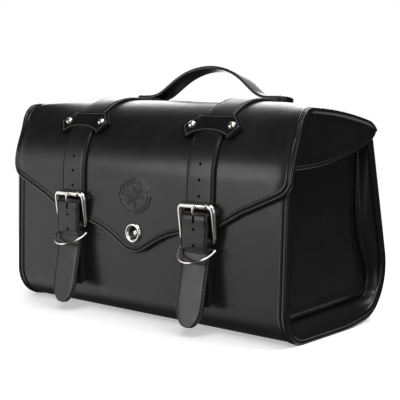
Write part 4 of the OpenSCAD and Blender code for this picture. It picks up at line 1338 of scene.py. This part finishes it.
def make_lock():
    """The flap's rolled eyelet and the turning post with its slot."""
    r_out = (eyelet_high[0] - eyelet_low[0]) / 2
    mid, half = (r_out + EYELET_BORE_R) / 2, (r_out - EYELET_BORE_R) / 2
    outline = [(mid + half * math.cos(b), 0.2 + 2.4 * math.sin(b)) for b in np.linspace(0, np.pi, 16)]
    outline += [(EYELET_BORE_R, -LID_T), (EYELET_BORE_R + 0.8, -LID_T), (EYELET_BORE_R + 0.8, -0.1),
                (r_out, -0.1)]
    eyelet = lathe("lock_eyelet_roll", (0, FLAP_Y, LOCK_Z), (0, -1, 0), outline, polished_nickel, turns=64)
    fitted(eyelet, "nickel", "lid", "lock_eyelet")
    outline = [(0, -4.8), (2.2, -4.8), (2.2, 0.7), (2.8, 0.8), (2.8, 2.4)]
    outline += [(2.0 + r, h) for r, h in dome_outline(0.8, 1.1, 2.4, 8)] + [(0, 3.5)]
    post = lathe("lock_post", (0, FRONT, LOCK_Z), (0, -1, 0), outline, polished_nickel, turns=40)
    slot_x, slot_z = np.meshgrid([-0.4, 0.4], [LOCK_Z - 1.7, LOCK_Z + 1.7], indexing="ij")
    near, far = (np.stack([slot_x, np.full((2, 2), FRONT + y), slot_z], -1) for y in (-4.6, -2.6))
    drilled(post, slab("slot", near, far, polished_nickel, edge=0))
    fitted(post, "nickel", "lock_plug", "lock_plug")


# ---- Handle ----

HANDLE_W = 26.0
HANDLE_T = 3.6
HANDLE_RISE = 46.0
HANDLE_HALF = 114.0
HANDLE_BEHIND = 48.0    # its middle line behind the crown's highest line
ARCH_R, ARCH_A = 90.0, 37.0
FOOT_R = 36.0
PAD_LOW = STRAP_GAP + STRAP_T + 0.1
PAD_T = 2.4
PAD_LENGTH = 44.0


def on_crown(points):
    """Points (x, across, up) in the handle's own frame, which leans back with the lid."""
    lean = math.asin(HANDLE_BEHIND / CROWN_R)
    y = CROWN_Y + (CROWN_R + points[..., 2]) * math.sin(lean) + points[..., 1] * math.cos(lean)
    z = CROWN_C + (CROWN_R + points[..., 2]) * math.cos(lean) - points[..., 1] * math.sin(lean)
    return np.stack([points[..., 0], y, z], -1)


def handle_line():
    """Half of the handle's side line (x, up): round arch, straight shank, hollow bend, flat tab."""
    base = PAD_LOW + PAD_T + HANDLE_T / 2
    arch_r, foot_r = ARCH_R - HANDLE_T / 2, FOOT_R + HANDLE_T / 2
    arch = arc(0, HANDLE_RISE - ARCH_R, arch_r, 90, 90 - ARCH_A, 24)
    slope = math.radians(ARCH_A)
    drop = arch[-1, 1] - base - foot_r * (1 - math.cos(slope))
    foot_x = arch[-1, 0] + drop / math.tan(slope) + foot_r * math.sin(slope)
    return joined(arch, arc(foot_x, base + foot_r, foot_r, 270 - ARCH_A, 270, 16), [(HANDLE_HALF, base)])


def make_handle():
    """Handle: one strap that arches up between two flat tabs, waisted at the grip.

    Its ends are rounded by a circle root of the distance left and the waist is a Gaussian.
    """
    half = resampled(handle_line(), 120)
    line = np.concatenate([(half * [-1, 1])[::-1], half[1:]])
    flat = np.stack([line[:, 0], np.zeros(len(line)), line[:, 1]], -1)
    across = np.broadcast_to([0.0, 1.0, 0.0], flat.shape)
    up = np.cross(tangents(flat), across)
    up *= np.sign(up[:, 2:3])
    left = np.clip((HANDLE_HALF - np.abs(line[:, 0])) / 13, 0, 1)
    waist = 1 - 0.12 * np.exp(-(np.abs(line[:, 0]) / 40) ** 2)
    width = (0.35 + 0.65 * np.sqrt(np.clip(left * (2 - left), 0, 1))) * waist
    section = strap_edge_section(HANDLE_W / 2, HANDLE_T)
    sections = section[None] * np.stack([width, np.ones_like(width)], -1)[:, None]
    grid = on_crown(flat[:, None] + sections[..., :1] * across[:, None] + sections[..., 1:] * up[:, None])
    faces = tube_faces(*grid.shape[:2])
    handle = piece("handle_leather", grid.reshape(-1, 3), faces, strap_leather)
    fitted(handle, "strap_leather", "lid", "handle_strap")
    rows = []
    normal = unit(on_crown(flat + up) - on_crown(flat))
    for e in (-1, 1):
        edge = on_crown(flat + e * (HANDLE_W / 2 * GROOVE_AT) * width[:, None] * across
                        + 0.4 * HANDLE_T * up)
        rows.append(stitches("row", edge[3:-3], normal[3:-3], grey_thread, pitch=3.2, length=2.2,
                             radius=0.32))
    fitted(together("handle_thread", rows), "strap_leather", "lid")


def make_handle_fixings():
    """The pad under each end of the handle and the two domed rivets through it."""
    pads, domes = [], []
    v = np.linspace(-1, 1, 10)
    outline = [(0, -0.3), (3.0, -0.3), (3.1, 0.2)] + dome_outline(2.9, 1.5, 0.3, 8)
    up = unit(on_crown(np.array([0, 0, 1.0])) - on_crown(np.array([0, 0, 0.0])))
    for e in (-1, 1):
        x = e * np.linspace(HANDLE_HALF - PAD_LENGTH, HANDLE_HALF, 20)
        end = np.clip((HANDLE_HALF - np.abs(x)) / 10, 0, 1)
        half_w = (HANDLE_W / 2 + 1) * (0.45 + 0.55 * np.sqrt(end * (2 - end)))
        grid = np.stack([np.broadcast_to(x[:, None], (20, 10)), half_w[:, None] * v[None],
                         np.full((20, 10), PAD_LOW + 2.35)], -1)
        pads.append(slab("pad", on_crown(grid), on_crown(grid - [0, 0, 2.3]), edge_leather, edge=0.4))
        for k in (-1, 1):
            seat = np.array([e * (HANDLE_HALF - 8), k * HANDLE_W / 4, PAD_LOW + PAD_T + HANDLE_T - 0.1])
            domes.append(lathe("dome", on_crown(seat), up, outline, polished_nickel, turns=28))
    fitted(together("handle_pads_leather", pads), "strap_leather", "lid", "handle_pads")
    fitted(together("handle_rivets_domes", domes), "nickel", "lid", "handle_rivets")


# ---- Build ----

make_wrap()
make_back()
make_lid()
make_rosette()
make_lid_board()
make_lid_binding()
make_hinge()
make_handle()
make_handle_fixings()
make_lock()
for side_name, side_sign in SIDES.items():
    make_body_binding(side_name, side_sign)
    make_end(side_name, side_sign)
    make_end_cap(side_name, side_sign)
    make_strap(side_name, side_sign)
    make_keeper(side_name, side_sign)
    make_chape(side_name, side_sign)
    make_buckle(side_name, side_sign)
    make_ring(side_name, side_sign)

carried_over = {
    "front_board": fibreboard,
    "base_board": fibreboard,
    "back_board": fibreboard,
    "mounting_eyelets": polished_nickel,
    # the lock base is near-black as painted shade for the dark inside of the lock hole
    "lock_base": shade_dark_steel,
    "lock_washer": polished_nickel,
    "release_stud_left": polished_nickel,
    "release_stud_right": polished_nickel,
    "release_socket_left": release_plastic,
    "release_socket_right": release_plastic,
}
for node_name, finish in carried_over.items():
    nodes[node_name].data.materials.clear()
    nodes[node_name].data.materials.append(finish)


# ---- Stage, light and camera ----

FLOOR_HALF, FLOOR_Z = 1600.0, -0.3
FADE_START, FADE_END = 0.42, 0.95    # metres from the bag's middle


def make_floor():
    """A plain pale floor that fades into the white surroundings with distance."""
    corners = [(-1, -1), (1, -1), (1, 1), (-1, 1)]
    points = [(FLOOR_HALF * x, FLOOR_HALF * y, FLOOR_Z) for x, y in corners]
    n = Nodes("pale floor")
    n.colour(n.noise(3, 2), (0.86, 0.86, 0.86), (0.88, 0.88, 0.88))
    n.set(Roughness=0.8, Emission_Color=(1, 1, 1, 1), Emission_Strength=0.42)
    away = n.add("ShaderNodeVectorMath", operation="LENGTH")
    n.link(n.where, away.inputs[0])
    n.link(n.spread(away.outputs["Value"], 1.0, 0.0, FADE_START, FADE_END), n.shader.inputs["Alpha"])
    floor = piece("floor", np.array(points), [(0, 1, 2, 3)], n.material, flat=True)
    floor.visible_glossy = False


LIGHT_TARGET = (0.0, 0.0, 0.13)


def make_light(name, centre, size, power):
    """A soft rectangular light that faces the bag's middle; centre and size in metres."""
    lamp = bpy.data.lights.new(name, "AREA")
    lamp.shape = "RECTANGLE"
    lamp.size, lamp.size_y = size
    lamp.energy = power
    obj = bpy.data.objects.new(name, lamp)
    bpy.context.scene.collection.objects.link(obj)
    obj.location = centre
    aim = np.array(LIGHT_TARGET) - np.array(centre)
    obj.rotation_euler = Vector(aim).to_track_quat("-Z", "Y").to_euler()


# Each soft light of the room: its direction, the cosines where its edge and core start, and
# its strength.
SOFT_LIGHTS = (
    ((-0.68, 0.70, 0.20), 0.88, 0.985, 5.5),
    ((-0.88, -0.42, -0.28), 0.76, 0.98, 1.35),
    ((-0.50, -0.86, 0.13), 0.962, 0.992, 4.6),
    ((0.30, 0.72, -0.62), 0.90, 0.99, 1.0),
    ((0.80, -0.55, 0.20), 0.82, 0.97, 1.3),
    ((0.30, -0.20, 0.93), 0.86, 0.98, 2.2),
)
AMBIENT = 0.055


def make_world():
    """White surroundings for the eye; for reflections, a dark room with soft round lights.

    Each light's strength is a smoothstep of the cosine between its own direction and the
    direction looked in.
    """
    world = bpy.data.worlds.new("studio")
    world.use_nodes = True
    tree = world.node_tree
    white = tree.nodes["Background"]
    white.inputs["Color"].default_value = (1, 1, 1, 1)
    where = tree.nodes.new("ShaderNodeTexCoord").outputs["Generated"]
    total = None
    for direction, edge, core, strength in SOFT_LIGHTS:
        dot = tree.nodes.new("ShaderNodeVectorMath")
        dot.operation = "DOT_PRODUCT"
        dot.inputs[1].default_value = unit(np.array(direction)).tolist()
        tree.links.new(where, dot.inputs[0])
        glow = tree.nodes.new("ShaderNodeMapRange")
        glow.interpolation_type = "SMOOTHSTEP"
        glow.inputs["From Min"].default_value = edge
        glow.inputs["From Max"].default_value = core
        glow.inputs["To Max"].default_value = strength
        tree.links.new(dot.outputs["Value"], glow.inputs["Value"])
        add = tree.nodes.new("ShaderNodeMath")
        add.inputs[1].default_value = AMBIENT
        tree.links.new(glow.outputs["Result"], add.inputs[0])
        if total:
            tree.links.new(total, add.inputs[1])
        total = add.outputs["Value"]
    dim = tree.nodes.new("ShaderNodeBackground")
    tree.links.new(total, dim.inputs["Strength"])
    mix = tree.nodes.new("ShaderNodeMixShader")
    path = tree.nodes.new("ShaderNodeLightPath")
    tree.links.new(path.outputs["Is Camera Ray"], mix.inputs["Fac"])
    tree.links.new(dim.outputs["Background"], mix.inputs[1])
    tree.links.new(white.outputs["Background"], mix.inputs[2])
    tree.links.new(mix.outputs["Shader"], tree.nodes["World Output"].inputs["Surface"])
    bpy.context.scene.world = world


CAMERA_AT = (0.6837, -0.8495, 0.2303)
CAMERA_AZIMUTH, CAMERA_PITCH, CAMERA_ROLL = 38.6, 5.3, 1.2


def make_camera():
    """Camera to the front right, a little above the lid's edge, rolled by about a degree."""
    azimuth, pitch, roll = (math.radians(a) for a in (CAMERA_AZIMUTH, CAMERA_PITCH, CAMERA_ROLL))
    lens = bpy.data.cameras.new("camera")
    lens.sensor_width = 36.0
    lens.lens = 82.0
    camera = bpy.data.objects.new("camera", lens)
    bpy.context.scene.collection.objects.link(camera)
    forward = np.array([-math.sin(azimuth) * math.cos(pitch), math.cos(azimuth) * math.cos(pitch),
                        -math.sin(pitch)])
    right = np.array([math.cos(azimuth), math.sin(azimuth), 0])
    over = np.cross(right, forward)
    x_axis = math.cos(roll) * right + math.sin(roll) * over
    y_axis = math.cos(roll) * over - math.sin(roll) * right
    turn = Matrix(np.stack([x_axis, y_axis, -forward], -1).tolist())
    camera.matrix_world = Matrix.Translation(CAMERA_AT) @ turn.to_4x4()
    bpy.context.scene.camera = camera


make_floor()
make_world()
make_light("overhead", centre=(0.25, 0.35, 1.4), size=(1.6, 1.0), power=15)
make_light("front", centre=(0.5, -1.3, 1.5), size=(0.5, 0.5), power=8)
make_camera()
bpy.context.scene.view_settings.view_transform = "Standard"
